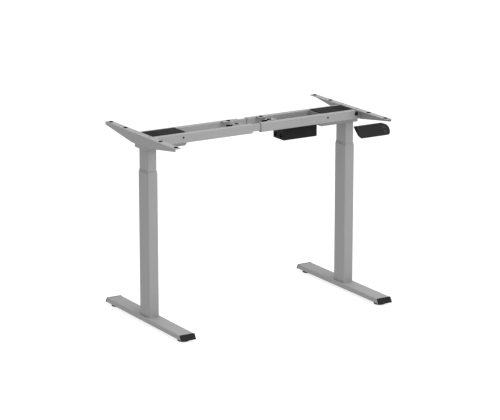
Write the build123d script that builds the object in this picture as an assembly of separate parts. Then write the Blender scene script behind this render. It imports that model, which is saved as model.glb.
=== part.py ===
from build123d import *
import math
import os

os.makedirs("parts", exist_ok=True)

# Frame of an electric sit-stand desk: two lifting columns on feet, joined by a pair of telescoping
# rails, with a side bracket over each column, a control box under the rails and a handset at the
# front right. X runs along the rails, -Y is the user's side, Z is up and the floor is Z = 0.
# Everything is drawn about the mid plane between the columns; save() then puts the origin at the
# middle of the floor area that the frame and its handset cover.

# ---------------------------------------------------------------- driving dimensions (mm)
COLUMN_SPACING = 990.0      # column centre to column centre

FOOT_LENGTH = 636.0         # over the top edges of both end caps
FOOT_WIDTH = 70.0
FOOT_HEIGHT = 22.0
FOOT_WALL = 2.0
FOOT_CORNER = 4.0
CAP_TOP_DEPTH = 4.0         # how far a foot cap stands out of the tube at its top edge
CAP_TOE = 13.0              # how much further the bottom edges of tube and cap reach
CAP_OVERSIZE = 1.0          # cap rim proud of the tube all round
CAP_ROUND = 3.0             # upright corners of the cap
CAP_PLUG_DEPTH = 16.0       # part of the cap inside the tube

GLIDE_RADIUS = 26.0
GLIDE_PAD = 8.0             # height of the round pad
GLIDE_GAP = 3.0             # pad to foot as delivered
GLIDE_INSET = 32.0          # glide centre to the end of the foot's length
GLIDE_STEM_RADIUS = 4.0
GLIDE_STEM = 20.0           # stem length above the pad
GLIDE_NUT_RADIUS = 8.0
GLIDE_NUT_HEIGHT = 7.0

OUTER_TUBE_Y = 82.0
OUTER_TUBE_X = 50.0
OUTER_TUBE_CORNER = 7.0
OUTER_TUBE_LENGTH = 627.0
TUBE_SHORTER = 3.0          # inner tube shorter than the outer one
TUBE_WALL = 1.8
TUBE_GAP = 2.2              # space for the plastic guides between the two tubes
GUIDE_CLEARANCE = 0.3       # free play left on each side of a guide
BASE_PLATE = 8.0            # plate welded in the bottom of the outer tube
TOP_PLATE = 6.0             # plate welded in the top of the inner tube
EXPOSED_TUBE = 94.0         # inner tube showing between the collar and the motor housing
GUIDE_RING_HEIGHT = 40.0    # guide ring on the inner tube's bottom end
COLLAR_HEIGHT = 10.0
COLLAR_LIP = 1.5            # sloping lip where the collar meets the outer tube
COLLAR_TAPER = 8.0          # degrees
COLLAR_SKIRT = 60.0         # guide part of the collar inside the outer tube

SPINDLE_RADIUS = 7.0
SPINDLE_JOURNAL_RADIUS = 6.0
SPINDLE_JOURNAL = 34.0      # journal length inside the gearbox
SPINDLE_SHORTER = 103.0     # spindle shorter than the outer tube
SPINDLE_TIP = 1.0           # chamfer on its free end
SPINDLE_CLEARANCE = 1.0     # round the spindle where it passes through a plate
RUNNING_CLEARANCE = 0.05
PUSH_TUBE_RADIUS = 12.5
PUSH_TUBE_WALL = 2.0
PUSH_TUBE_DROP = 50.0       # its top end below the top of the outer tube
NUT_HEIGHT = 30.0
NUT_SPIGOT = 10.0

HOUSING_DROP = 17.0         # motor housing's underside below the rails
HOUSING_SHEET = 2.0
HOUSING_REACH = 161.0       # column centre to the housing's inner end
HOUSING_CHAMFER = 8.0
COVER_THICKNESS = 3.0
COVER_INSET = 6.0           # housing's inner end to the cover's
COVER_GAP = 0.5
COVER_ROUND = 1.0
COVER_GROOVES = 4
COVER_GROOVE_PITCH = 9.0
COVER_GROOVE = 1.2          # width and depth of a groove in the cover

RAIL_HEIGHT = 40.0
RAIL_WIDTH = 22.0
RAIL_WALL = 1.5
RAIL_CORNER = 3.0
RAIL_HALF_SPACING = 57.0    # rail centre line to the mid plane
RAIL_INNER_END = 21.0       # distance of an outer rail's inner end from the mid plane
CENTRE_RAIL_SETBACK = 55.0  # column centre to the end of the centre rail
CENTRE_RAIL_WIDTH = 14.0
CENTRE_RAIL_HEIGHT = 30.5
CENTRE_RAIL_TOP_GAP = 1.5   # centre rail top to the roof of the outer rail
CENTRE_RAIL_WALL = 1.5
CENTRE_RAIL_CORNER = 1.5
SLIDER_LENGTH = 30.0
LOCK_SCREW_REACH = 134.0    # column centre to the screw that clamps the centre rail
LOCK_SCREW_HEIGHT = 24.0    # above the rail's underside
RAIL_PLUG_INSET = 22.0      # blanking plug centre to the bracket's web
RAIL_PLUG_RADIUS = 9.0
RAIL_PLUG_BODY_RADIUS = 7.8
RAIL_PLUG_RIM = 1.2
RAIL_PLUG_BODY = 6.0

TAB_LENGTH = 46.0           # desktop tab welded to each outer rail
TAB_SETBACK = 43.0          # its inner end from the rail's inner end
TAB_REACH = 26.0
TAB_DROP = 26.0
TAB_SHEET = 3.0
TAB_HOLE_SETBACK = 18.0     # hole centre from the tab's inner end
TAB_HOLE_REACH = 12.0       # hole centre from the rail's inner face
STRIP_LENGTH = 34.0         # rubber strip on the inner face of each front rail
STRIP_WIDTH = 8.0
STRIP_DROP = 12.0           # its bottom edge below the rail's top
STRIP_SETBACK = 7.0         # its right end to the grommet's centre on the right rail
STRIP_SETBACK_LEFT = 21.0   # the same on the left rail

BRACKET_HALF_LENGTH = 298.0
BRACKET_SHEET = 3.0
BRACKET_FLANGE = 30.0
BRACKET_OVERHANG = 39.4     # web's outer face beyond the column centre
BRACKET_END_DEPTH = 12.5
BRACKET_MID_DEPTH = 44.5
BRACKET_SHOULDER = 2.0      # full-depth middle of the web beyond the rails
BRACKET_CORNER = 8.0
BRACKET_BEND = 2.5
PAD_INSET = 16.4            # pad centre to the web's outer face
PAD_OUTER_Y = 277.0
PAD_INNER_Y = 149.5
PAD_RADIUS = 9.5
PAD_RIM = 2.0               # rim above the steel
PAD_BODY_RADIUS = 5.0
PAD_HOLE_RADIUS = 2.75

GEARBOX_X = 60.0
GEARBOX_Y = 70.0
GEARBOX_Z = 46.0
GEARBOX_CORNER = 6.0
GEARBOX_CHAMFER = 2.0
GEARBOX_SCREW_X = 22.7      # spacing of its four screws
GEARBOX_SCREW_Y = 54.8
MOTOR_RADIUS = 23.0
MOTOR_ROUND = 4.0
MOTOR_RISE = 1.0            # motor axis above the middle of the gearbox
MOTOR_LENGTH = 104.0
MOTOR_BOSS_RADIUS = 12.0
MOTOR_BOSS = 5.0

CONTROL_GAP = 12.0          # control box to the motor housing
CONTROL_LENGTH = 172.0
CONTROL_HALF_WIDTH = 43.0
CONTROL_HEIGHT = 56.0
CONTROL_WALL = 2.5
CONTROL_CORNER = 4.0
CONTROL_CHAMFER = 1.5
CONTROL_SCREW_INSET = 17.2  # hanging screw to the end of the box
LID_SHEET = 2.0
LID_MARGIN = 5.0            # lid edge beyond the rail's centre line
BOARD_SHEET = 1.6
BOARD_STANDOFF = 8.0
SOCKET_WIDTH = 15.0
SOCKET_HEIGHT = 12.0
SOCKET_WALL = 1.5
SOCKET_DEPTH = 11.0
SOCKET_SPACING = 42.0
SOCKET_DROP = 40.0          # socket centre below the lid
INLET_WIDTH = 27.0
INLET_HEIGHT = 20.0

HANDSET_REACH = 185.0       # column centre to the handset's left end
HANDSET_LENGTH = 158.0
HANDSET_BACK = 342.5        # back edge of its top face, in front of the mid plane
HANDSET_TOP_DEPTH = 24.5
HANDSET_LEAN = 26.0         # how far the face's bottom edge stands in front of its top edge
HANDSET_FACE_DROP = 43.0
HANDSET_CHIN = 3.0
HANDSET_CHIN_BACK = 7.0
HANDSET_BACK_DROP = 5.0
HANDSET_LEFT_ROUND = 16.0
HANDSET_RIGHT_ROUND = 22.0
HANDSET_WALL = 2.2
FACE_SHEET = 1.6
FACE_MARGIN = 3.0
KEY_LENGTH = 18.0
KEY_HEIGHT = 13.0
KEY_CORNER = 3.0
KEY_PROUD = 0.8
KEY_BODY = 3.0              # key depth behind the face
KEY_TRAVEL = 0.8
KEY_GAP = 0.35
KEY_INSET = 26.0            # key centre from the handset's right end
KEY_PITCH = 17.0            # up key centre to down key centre, along the face
HANDSET_HOLE_RADIUS = 2.25
HANDSET_HOLE_INSET = 22.0
HANDSET_HOLE_BACK = 8.2     # hole centre in front of the back edge of the top face
HANDSET_BOSS_LAP = 2.0      # boss of a hole below the top face's back edge

M6_RADIUS = 3.0
M6_HEAD_RADIUS = 5.0
M6_HEAD = 5.0
M5_RADIUS = 2.5
M5_HEAD_RADIUS = 4.25
M5_HEAD = 2.2
HEAD_ROUND = 0.6            # share of a domed head that is rounded off
SOCKET_KEY = 1.6            # half the width across a screw's hexagon socket
ACCESS_HOLE_RADIUS = 6.5

# ---------------------------------------------------------------- derived places (mm)
COLUMN_X = COLUMN_SPACING / 2
FOOT_BOTTOM = GLIDE_PAD + GLIDE_GAP
FOOT_TOP = FOOT_BOTTOM + FOOT_HEIGHT
FOOT_TUBE_HALF = FOOT_LENGTH / 2 - CAP_TOP_DEPTH
GLIDE_Y = FOOT_LENGTH / 2 - GLIDE_INSET
OUTER_TUBE_TOP = FOOT_TOP + OUTER_TUBE_LENGTH
INNER_TUBE_Y = OUTER_TUBE_Y - 2 * (TUBE_WALL + TUBE_GAP)
INNER_TUBE_X = OUTER_TUBE_X - 2 * (TUBE_WALL + TUBE_GAP)
INNER_TUBE_CORNER = OUTER_TUBE_CORNER - TUBE_WALL - TUBE_GAP
GUIDE = TUBE_GAP - GUIDE_CLEARANCE
HOUSING_BOTTOM = OUTER_TUBE_TOP + COLLAR_HEIGHT + EXPOSED_TUBE
INNER_TUBE_BOTTOM = HOUSING_BOTTOM - OUTER_TUBE_LENGTH + TUBE_SHORTER
SPINDLE_BOTTOM = HOUSING_BOTTOM - OUTER_TUBE_LENGTH + SPINDLE_SHORTER
NUT_BOTTOM = OUTER_TUBE_TOP - PUSH_TUBE_DROP
NUT_TOP = NUT_BOTTOM + NUT_HEIGHT
HOUSING_INNER_END = COLUMN_X - HOUSING_REACH
RAIL_BOTTOM = HOUSING_BOTTOM + HOUSING_DROP
RAIL_TOP = RAIL_BOTTOM + RAIL_HEIGHT
RAIL_FACE_IN = RAIL_HALF_SPACING - RAIL_WIDTH / 2
RAIL_FACE_OUT = RAIL_HALF_SPACING + RAIL_WIDTH / 2
BRACKET_TOP = RAIL_TOP + BRACKET_SHEET
BRACKET_FACE = COLUMN_X + BRACKET_OVERHANG
WEB_FACE_IN = BRACKET_FACE - BRACKET_SHEET
FLANGE_EDGE = BRACKET_FACE - BRACKET_FLANGE
PAD_X = BRACKET_FACE - PAD_INSET
PAD_TOP = BRACKET_TOP + PAD_RIM
TAB_NEAR_END = RAIL_INNER_END + TAB_SETBACK
TAB_HOLE_X = TAB_NEAR_END + TAB_HOLE_SETBACK
TAB_HOLE_Y = RAIL_FACE_IN - TAB_HOLE_REACH
LOCK_SCREW_X = COLUMN_X - LOCK_SCREW_REACH
BRACKET_MID_HALF = RAIL_FACE_OUT + BRACKET_SHOULDER
CONTROL_NEAR_END = HOUSING_INNER_END - CONTROL_GAP - CONTROL_LENGTH
LID_HALF_WIDTH = RAIL_HALF_SPACING + LID_MARGIN
HANDSET_LEFT = COLUMN_X - HANDSET_REACH
HANDSET_FRONT = HANDSET_BACK + HANDSET_TOP_DEPTH + HANDSET_LEAN
ORIGIN_SHIFT = (HANDSET_FRONT - FOOT_LENGTH / 2 - CAP_TOE) / 2


# ---------------------------------------------------------------- small helpers
def block(x, y, z):
    """Box between pairs of limits."""
    size = [high - low for low, high in (x, y, z)]
    middle = [(high + low) / 2 for low, high in (x, y, z)]
    return Pos(*middle) * Box(*size)


def post(x, y, z, radius):
    """Upright round bar between two heights."""
    return Pos(x, y, (z[0] + z[1]) / 2) * Cylinder(radius, z[1] - z[0])


def rod_y(x, z, y, radius):
    """Round bar along Y between two limits."""
    return Pos(x, (y[0] + y[1]) / 2, z) * Rot(90, 0, 0) * Cylinder(radius, y[1] - y[0])


def rod_x(y, z, x, radius):
    """Round bar along X between two limits."""
    return Pos((x[0] + x[1]) / 2, y, z) * Rot(0, 90, 0) * Cylinder(radius, x[1] - x[0])


def column(width_x, width_y, corner, z, x=COLUMN_X):
    """Upright bar of rounded rectangular section, centred on a column."""
    section = Pos(x, 0, z[0]) * RectangleRounded(width_x, width_y, corner)
    return extrude(section, z[1] - z[0])


def bar_x(y, z, x, corner):
    """Bar of rounded rectangular section along X between pairs of limits."""
    section = RectangleRounded(y[1] - y[0], z[1] - z[0], corner)
    middle_y, middle_z = (y[0] + y[1]) / 2, (z[0] + z[1]) / 2
    plane = Plane(origin=(x[0], middle_y, middle_z), x_dir=(0, 1, 0), z_dir=(1, 0, 0))
    return extrude(plane * section, x[1] - x[0])


def grow(limits, amount):
    """The same limits, moved apart by an amount at each end."""
    return (limits[0] - amount, limits[1] + amount)


def both_y(solid):
    """A solid and its mirror image across the mid plane Y = 0."""
    return [solid, mirror(solid, about=Plane.XZ)]


def save(name, solids):
    """Write one node, with the origin moved to the middle of the covered floor."""
    solids = solids if isinstance(solids, list) else [solids]
    moved = [Pos(0, ORIGIN_SHIFT, 0) * s for item in solids for s in item.solids()]
    export_step(moved[0] if len(moved) == 1 else Compound(moved), f"parts/{name}.step")


def save_pair(name, solids):
    """Write a node for the right side and its mirror image for the left side."""
    solids = solids if isinstance(solids, list) else [solids]
    save(f"right_{name}", solids)
    save(f"left_{name}", [mirror(solid, about=Plane.YZ) for solid in solids])


# ---------------------------------------------------------------- foot
def foot_screw_places():
    """The four screws that hold the column to the foot."""
    reach_x, reach_y = OUTER_TUBE_X / 4, OUTER_TUBE_Y * 3 / 8
    return [(COLUMN_X + sx * reach_x, sy * reach_y) for sx in (-1, 1) for sy in (-1, 1)]


def foot_tube():
    """Rectangular steel tube with welded nuts for the glides and holes for the column screws."""
    reach = FOOT_TUBE_HALF + CAP_TOE
    plane = Plane(origin=(COLUMN_X, -reach, (FOOT_BOTTOM + FOOT_TOP) / 2), x_dir=(1, 0, 0), z_dir=(0, 1, 0))
    bore = RectangleRounded(FOOT_WIDTH - 2 * FOOT_WALL, FOOT_HEIGHT - 2 * FOOT_WALL, FOOT_CORNER - FOOT_WALL)
    tube = extrude(plane * RectangleRounded(FOOT_WIDTH, FOOT_HEIGHT, FOOT_CORNER), 2 * reach)
    tube -= extrude(plane * bore, 2 * reach)
    tube &= foot_side(0)
    floor = FOOT_BOTTOM + FOOT_WALL
    for end in (-1, 1):
        tube += post(COLUMN_X, end * GLIDE_Y, (floor, floor + GLIDE_NUT_HEIGHT), GLIDE_NUT_RADIUS)
        tube -= post(COLUMN_X, end * GLIDE_Y, (FOOT_BOTTOM, floor + GLIDE_NUT_HEIGHT),
                     GLIDE_STEM_RADIUS + RUNNING_CLEARANCE)
    for px, py in foot_screw_places():
        tube -= post(px, py, (FOOT_TOP - FOOT_WALL, FOOT_TOP), M6_RADIUS)
        tube -= post(px, py, (FOOT_BOTTOM, floor), ACCESS_HOLE_RADIUS)
    return tube


def foot_side(reach):
    """Side view of the foot, with its slanting ends moved out by a reach, over twice its width."""
    low, high = FOOT_BOTTOM - CAP_OVERSIZE, FOOT_TOP + CAP_OVERSIZE
    top, toe = FOOT_TUBE_HALF + reach, FOOT_TUBE_HALF + CAP_TOE + reach
    outline = Polyline((-toe, low), (toe, low), (top, high), (-top, high), close=True)
    side = Plane(origin=(COLUMN_X, 0, 0), x_dir=(0, 1, 0), z_dir=(1, 0, 0))
    return extrude(side * make_face(outline), FOOT_WIDTH, both=True)


def foot_cap():
    """Plastic end cap: a plug in the tube and a plate over the tube's slanting end."""
    height, middle = FOOT_HEIGHT + 2 * CAP_OVERSIZE, (FOOT_BOTTOM + FOOT_TOP) / 2
    reach = FOOT_TUBE_HALF + CAP_TOE + CAP_TOP_DEPTH
    plane = Plane(origin=(COLUMN_X, 0, middle), x_dir=(1, 0, 0), z_dir=(0, 1, 0))
    plate = extrude(plane * RectangleRounded(FOOT_WIDTH + 2 * CAP_OVERSIZE, height, CAP_ROUND), reach)
    plate = (plate & foot_side(CAP_TOP_DEPTH)) - foot_side(0)
    bore = RectangleRounded(FOOT_WIDTH - 2 * FOOT_WALL, FOOT_HEIGHT - 2 * FOOT_WALL, FOOT_CORNER - FOOT_WALL)
    plug = extrude(plane * bore, reach) & foot_side(0)
    return plate + (plug - foot_side(-CAP_PLUG_DEPTH))


def glide(end):
    """Levelling glide at the front (-1) or rear (+1) end of the foot: a pad on a threaded stem."""
    y = end * GLIDE_Y
    pad = post(COLUMN_X, y, (0, GLIDE_PAD), GLIDE_RADIUS)
    pad = chamfer(pad.edges().group_by(Axis.Z)[-1], GLIDE_PAD / 4)
    pad = fillet(pad.edges().group_by(Axis.Z)[0], GLIDE_PAD / 8)
    return pad + post(COLUMN_X, y, (GLIDE_PAD, GLIDE_PAD + GLIDE_STEM), GLIDE_STEM_RADIUS)


def foot_screws():
    """Screws from inside the foot up into the plate in the column."""
    seat = FOOT_TOP - FOOT_WALL
    screws = []
    for px, py in foot_screw_places():
        shank = post(px, py, (seat, FOOT_TOP + BASE_PLATE), M6_RADIUS)
        head = post(px, py, (seat - M6_HEAD, seat), M6_HEAD_RADIUS)
        screws.append(shank + head - hex_socket(px, py, seat - M6_HEAD))
    return screws


def hex_socket(px, py, z):
    """Hexagon recess that opens downwards at a height."""
    return extrude(Pos(px, py, z) * RegularPolygon(SOCKET_KEY, 6, major_radius=False), SOCKET_KEY)


# ---------------------------------------------------------------- column
def outer_tube():
    """Outer column tube with the plate welded in its bottom end."""
    z = (FOOT_TOP, OUTER_TUBE_TOP)
    tube = column(OUTER_TUBE_X, OUTER_TUBE_Y, OUTER_TUBE_CORNER, z)
    tube -= column(OUTER_TUBE_X - 2 * TUBE_WALL, OUTER_TUBE_Y - 2 * TUBE_WALL,
                   OUTER_TUBE_CORNER - TUBE_WALL, (z[0] + BASE_PLATE, z[1]))
    for px, py in foot_screw_places():
        tube -= post(px, py, (FOOT_TOP, FOOT_TOP + BASE_PLATE), M6_RADIUS)
    return tube


def collar():
    """Plastic collar on the outer tube, with a skirt that guides the inner tube."""
    foot = RectangleRounded(OUTER_TUBE_X, OUTER_TUBE_Y, OUTER_TUBE_CORNER)
    ring = extrude(Pos(COLUMN_X, 0, OUTER_TUBE_TOP) * foot, COLLAR_LIP, taper=45)
    neck = RectangleRounded(OUTER_TUBE_X - 2 * COLLAR_LIP, OUTER_TUBE_Y - 2 * COLLAR_LIP,
                            OUTER_TUBE_CORNER - COLLAR_LIP)
    ring += extrude(Pos(COLUMN_X, 0, OUTER_TUBE_TOP + COLLAR_LIP) * neck, COLLAR_HEIGHT - COLLAR_LIP,
                    taper=COLLAR_TAPER)
    ring += column(OUTER_TUBE_X - 2 * TUBE_WALL, OUTER_TUBE_Y - 2 * TUBE_WALL,
                   OUTER_TUBE_CORNER - TUBE_WALL, (OUTER_TUBE_TOP - COLLAR_SKIRT, OUTER_TUBE_TOP))
    return ring - column(INNER_TUBE_X + 2 * GUIDE_CLEARANCE, INNER_TUBE_Y + 2 * GUIDE_CLEARANCE,
                         INNER_TUBE_CORNER + GUIDE_CLEARANCE,
                         (OUTER_TUBE_TOP - COLLAR_SKIRT, OUTER_TUBE_TOP + COLLAR_HEIGHT))


def gearbox_screw_places():
    """The four screws that hold the gearbox to the plate in the inner tube."""
    reach_x, reach_y = GEARBOX_SCREW_X / 2, GEARBOX_SCREW_Y / 2
    return [(COLUMN_X + sx * reach_x, sy * reach_y) for sx in (-1, 1) for sy in (-1, 1)]


def inner_tube():
    """Inner column tube with the plate welded in its top end."""
    z = (INNER_TUBE_BOTTOM, HOUSING_BOTTOM)
    tube = column(INNER_TUBE_X, INNER_TUBE_Y, INNER_TUBE_CORNER, z)
    tube -= column(INNER_TUBE_X - 2 * TUBE_WALL, INNER_TUBE_Y - 2 * TUBE_WALL,
                   INNER_TUBE_CORNER - TUBE_WALL, (z[0], z[1] - TOP_PLATE))
    tube -= post(COLUMN_X, 0, (z[1] - TOP_PLATE, z[1]), SPINDLE_RADIUS + SPINDLE_CLEARANCE)
    for px, py in gearbox_screw_places():
        tube -= post(px, py, (z[1] - TOP_PLATE, z[1]), M5_RADIUS)
    return tube


def guide_ring():
    """Plastic ring round the bottom of the inner tube, which runs in the outer tube."""
    z = (INNER_TUBE_BOTTOM, INNER_TUBE_BOTTOM + GUIDE_RING_HEIGHT)
    ring = column(INNER_TUBE_X + 2 * GUIDE, INNER_TUBE_Y + 2 * GUIDE, INNER_TUBE_CORNER + GUIDE, z)
    return ring - column(INNER_TUBE_X, INNER_TUBE_Y, INNER_TUBE_CORNER, z)


def push_tube():
    """Tube that stands on the base plate and carries the spindle nut."""
    z = (FOOT_TOP + BASE_PLATE, NUT_BOTTOM)
    return post(COLUMN_X, 0, z, PUSH_TUBE_RADIUS) - post(COLUMN_X, 0, z, PUSH_TUBE_RADIUS - PUSH_TUBE_WALL)


def spindle_nut():
    """Plastic nut on top of the push tube, with a spigot inside it."""
    nut = post(COLUMN_X, 0, (NUT_BOTTOM, NUT_TOP), PUSH_TUBE_RADIUS)
    nut += post(COLUMN_X, 0, (NUT_BOTTOM - NUT_SPIGOT, NUT_BOTTOM),
                PUSH_TUBE_RADIUS - PUSH_TUBE_WALL)
    return nut - post(COLUMN_X, 0, (NUT_BOTTOM - NUT_SPIGOT, NUT_TOP),
                      SPINDLE_RADIUS + RUNNING_CLEARANCE)


def spindle():
    """Lead screw: threaded length drawn at its outer diameter, and the journal in the gearbox."""
    shoulder = HOUSING_BOTTOM - TOP_PLATE
    screw = post(COLUMN_X, 0, (SPINDLE_BOTTOM, shoulder), SPINDLE_RADIUS)
    screw = chamfer(screw.edges().group_by(Axis.Z)[0], SPINDLE_TIP)
    return screw + post(COLUMN_X, 0, (shoulder, HOUSING_BOTTOM + SPINDLE_JOURNAL), SPINDLE_JOURNAL_RADIUS)


# ---------------------------------------------------------------- drive
def gearbox():
    """Right-angle gearbox over the column, bored for the spindle journal."""
    z = (HOUSING_BOTTOM + HOUSING_SHEET, HOUSING_BOTTOM + HOUSING_SHEET + GEARBOX_Z)
    box = column(GEARBOX_X, GEARBOX_Y, GEARBOX_CORNER, z)
    box = chamfer(box.edges().group_by(Axis.Z)[-1], GEARBOX_CHAMFER)
    box -= post(COLUMN_X, 0, (z[0], HOUSING_BOTTOM + SPINDLE_JOURNAL + SPINDLE_CLEARANCE),
                SPINDLE_JOURNAL_RADIUS + RUNNING_CLEARANCE)
    for px, py in gearbox_screw_places():
        box -= post(px, py, (z[0], z[0] + BASE_PLATE), M5_RADIUS)
        box -= post(px, py, (z[0] + BASE_PLATE, z[1]), M6_HEAD_RADIUS)
    return box


def gearbox_screws():
    """Screws through the gearbox foot and the housing floor into the inner tube's plate."""
    seat = HOUSING_BOTTOM + HOUSING_SHEET + BASE_PLATE
    return [post(px, py, (HOUSING_BOTTOM - TOP_PLATE, seat), M5_RADIUS)
            + post(px, py, (seat, seat + M6_HEAD), M5_HEAD_RADIUS) for px, py in gearbox_screw_places()]


def motor():
    """Direct-current motor lying in the housing, with its front boss in the gearbox's side."""
    face = COLUMN_X - GEARBOX_X / 2
    height = HOUSING_BOTTOM + HOUSING_SHEET + GEARBOX_Z / 2 + MOTOR_RISE
    can = rod_x(0, height, (face - MOTOR_LENGTH, face), MOTOR_RADIUS)
    can = fillet(can.edges().group_by(Axis.X)[0], MOTOR_ROUND)
    end = face - MOTOR_LENGTH
    return can + rod_x(0, height, (end - MOTOR_BOSS, end), MOTOR_BOSS_RADIUS)


def motor_housing():
    """Folded steel tray between the rails, closed at both ends, which holds motor and gearbox."""
    x, y = (HOUSING_INNER_END, WEB_FACE_IN), (-RAIL_FACE_IN, RAIL_FACE_IN)
    z = (HOUSING_BOTTOM, RAIL_TOP - COVER_GAP)
    tray = block(x, y, z)
    inner_toe = tray.edges().filter_by(Axis.Y).group_by(Axis.Z)[0].sort_by(Axis.X)[0]
    tray = chamfer(inner_toe, HOUSING_CHAMFER)
    room = block(grow(x, -HOUSING_SHEET), grow(y, -HOUSING_SHEET), (z[0] + HOUSING_SHEET, z[1]))
    room_toe = room.edges().filter_by(Axis.Y).group_by(Axis.Z)[0].sort_by(Axis.X)[0]
    tray -= chamfer(room_toe, HOUSING_CHAMFER)
    tray -= post(COLUMN_X, 0, (z[0], z[0] + HOUSING_SHEET), SPINDLE_RADIUS + SPINDLE_CLEARANCE)
    for px, py in gearbox_screw_places():
        tray -= post(px, py, (z[0], z[0] + HOUSING_SHEET), M5_RADIUS)
    return tray


def housing_cover():
    """Plastic lid on the motor housing, with grooves across its outer end."""
    x = (HOUSING_INNER_END + COVER_INSET, FLANGE_EDGE - COVER_GAP)
    y = grow((-RAIL_FACE_IN, RAIL_FACE_IN), -COVER_GAP)
    bottom = RAIL_TOP - COVER_GAP
    lid = block(x, y, (bottom, bottom + COVER_THICKNESS))
    lid = fillet(lid.edges().group_by(Axis.Z)[-1], COVER_ROUND)
    for index in range(1, COVER_GROOVES + 1):
        near = x[1] - index * COVER_GROOVE_PITCH
        lid -= block((near, near + COVER_GROOVE), grow(y, -COVER_GROOVE_PITCH),
                     (bottom + COVER_THICKNESS - COVER_GROOVE, bottom + COVER_THICKNESS))
    return lid


# ---------------------------------------------------------------- brackets and rails
def bracket():
    """Side bracket: a top flange for the desktop and a web that tapers towards both ends."""
    side = Plane(origin=(WEB_FACE_IN, 0, 0), x_dir=(0, 1, 0), z_dir=(1, 0, 0))
    half, top, low = BRACKET_HALF_LENGTH, BRACKET_TOP, BRACKET_TOP - BRACKET_MID_DEPTH
    outline = Polyline((-half, top), (-half, top - BRACKET_END_DEPTH), (-BRACKET_MID_HALF, low),
                       (BRACKET_MID_HALF, low), (half, top - BRACKET_END_DEPTH), (half, top), close=True)
    web = extrude(side * make_face(outline), BRACKET_SHEET)
    flange = block((FLANGE_EDGE, BRACKET_FACE), (-half, half), (RAIL_TOP, top))
    inner_corners = flange.edges().filter_by(Axis.Z).group_by(Axis.X)[0]
    steel = fillet(inner_corners, BRACKET_CORNER) + web
    bend = steel.edges().filter_by(Axis.Y).group_by(Axis.Z)[-1].sort_by(Axis.X)[-1]
    steel = fillet(bend, BRACKET_BEND)
    for end in (-1, 1):
        for reach in (PAD_OUTER_Y, PAD_INNER_Y):
            steel -= post(PAD_X, end * reach, (RAIL_TOP, top), PAD_BODY_RADIUS)
        steel -= post(PAD_X, end * RAIL_HALF_SPACING, (RAIL_TOP, top), M5_RADIUS)
    return steel


def bracket_screws():
    """Screws through the bracket's flange into the rails."""
    screws = []
    for end in (-1, 1):
        y = end * RAIL_HALF_SPACING
        head = post(PAD_X, y, (BRACKET_TOP, BRACKET_TOP + M5_HEAD), M5_HEAD_RADIUS)
        head = fillet(head.edges().group_by(Axis.Z)[-1], M5_HEAD * HEAD_ROUND)
        recess = extrude(Pos(PAD_X, y, BRACKET_TOP + M5_HEAD) * RegularPolygon(SOCKET_KEY, 6), -SOCKET_KEY)
        screws.append(head - recess + post(PAD_X, y, (RAIL_TOP - RAIL_WALL, BRACKET_TOP), M5_RADIUS))
    return screws


def pad(x, y):
    """Rubber grommet: a rim on top of the steel and a body through its hole."""
    rim = post(x, y, (BRACKET_TOP, PAD_TOP), PAD_RADIUS)
    rim = fillet(rim.edges().group_by(Axis.Z)[-1], PAD_RIM * HEAD_ROUND)
    body = post(x, y, (RAIL_TOP, BRACKET_TOP), PAD_BODY_RADIUS)
    return rim + body - post(x, y, (RAIL_TOP, PAD_TOP), PAD_HOLE_RADIUS)


def pads():
    """The grommets of one bracket and of the two rail tabs beside it."""
    places = [(PAD_X, end * reach) for end in (-1, 1) for reach in (PAD_OUTER_Y, PAD_INNER_Y)]
    places += [(TAB_HOLE_X, end * TAB_HOLE_Y) for end in (-1, 1)]
    return [pad(x, y) for x, y in places]


def buffer_strip(right_end):
    """Rubber strip on the inner face of a front rail, which fills the gap under the desktop."""
    x = (right_end - STRIP_LENGTH, right_end)
    y, z = (-RAIL_FACE_IN, STRIP_WIDTH - RAIL_FACE_IN), (RAIL_TOP - STRIP_DROP, PAD_TOP)
    strip = block(x, y, z)
    tab = (TAB_NEAR_END, TAB_NEAR_END + TAB_LENGTH)
    for limits in (tab, (-tab[1], -tab[0])):
        strip -= block(limits, (-RAIL_FACE_IN, RAIL_FACE_IN), (BRACKET_TOP - TAB_DROP, BRACKET_TOP))
    return strip


def rail_tab():
    """Angle welded to the inner face of a rear rail, which carries a desktop grommet."""
    x = (TAB_NEAR_END, TAB_NEAR_END + TAB_LENGTH)
    leg = block(x, (RAIL_FACE_IN - TAB_SHEET, RAIL_FACE_IN), (BRACKET_TOP - TAB_DROP, BRACKET_TOP))
    shelf = block(x, (RAIL_FACE_IN - TAB_REACH, RAIL_FACE_IN), (BRACKET_TOP - TAB_SHEET, BRACKET_TOP))
    corners = shelf.edges().filter_by(Axis.Z).group_by(Axis.Y)[0]
    shelf = fillet(corners, BRACKET_CORNER / 2)
    return leg + shelf - post(TAB_HOLE_X, TAB_HOLE_Y, (RAIL_TOP, BRACKET_TOP), PAD_BODY_RADIUS)


def rear_rail():
    """Outer rail behind the column: steel tube with its screw holes and its desktop tab."""
    y, z, x = (RAIL_FACE_IN, RAIL_FACE_OUT), (RAIL_BOTTOM, RAIL_TOP), (RAIL_INNER_END, WEB_FACE_IN)
    bore = bar_x(grow(y, -RAIL_WALL), grow(z, -RAIL_WALL), x, RAIL_CORNER - RAIL_WALL)
    rail = bar_x(y, z, x, RAIL_CORNER) - bore
    height = RAIL_BOTTOM + LOCK_SCREW_HEIGHT
    outer_wall = (y[1] - RAIL_WALL, y[1])
    rail -= rod_y(LOCK_SCREW_X, height, outer_wall, M5_RADIUS)
    rail -= rod_y(WEB_FACE_IN - RAIL_PLUG_INSET, height, outer_wall, RAIL_PLUG_BODY_RADIUS)
    rail -= post(PAD_X, RAIL_HALF_SPACING, (RAIL_TOP - RAIL_WALL, RAIL_TOP), M5_RADIUS)
    return rail + rail_tab()


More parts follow.
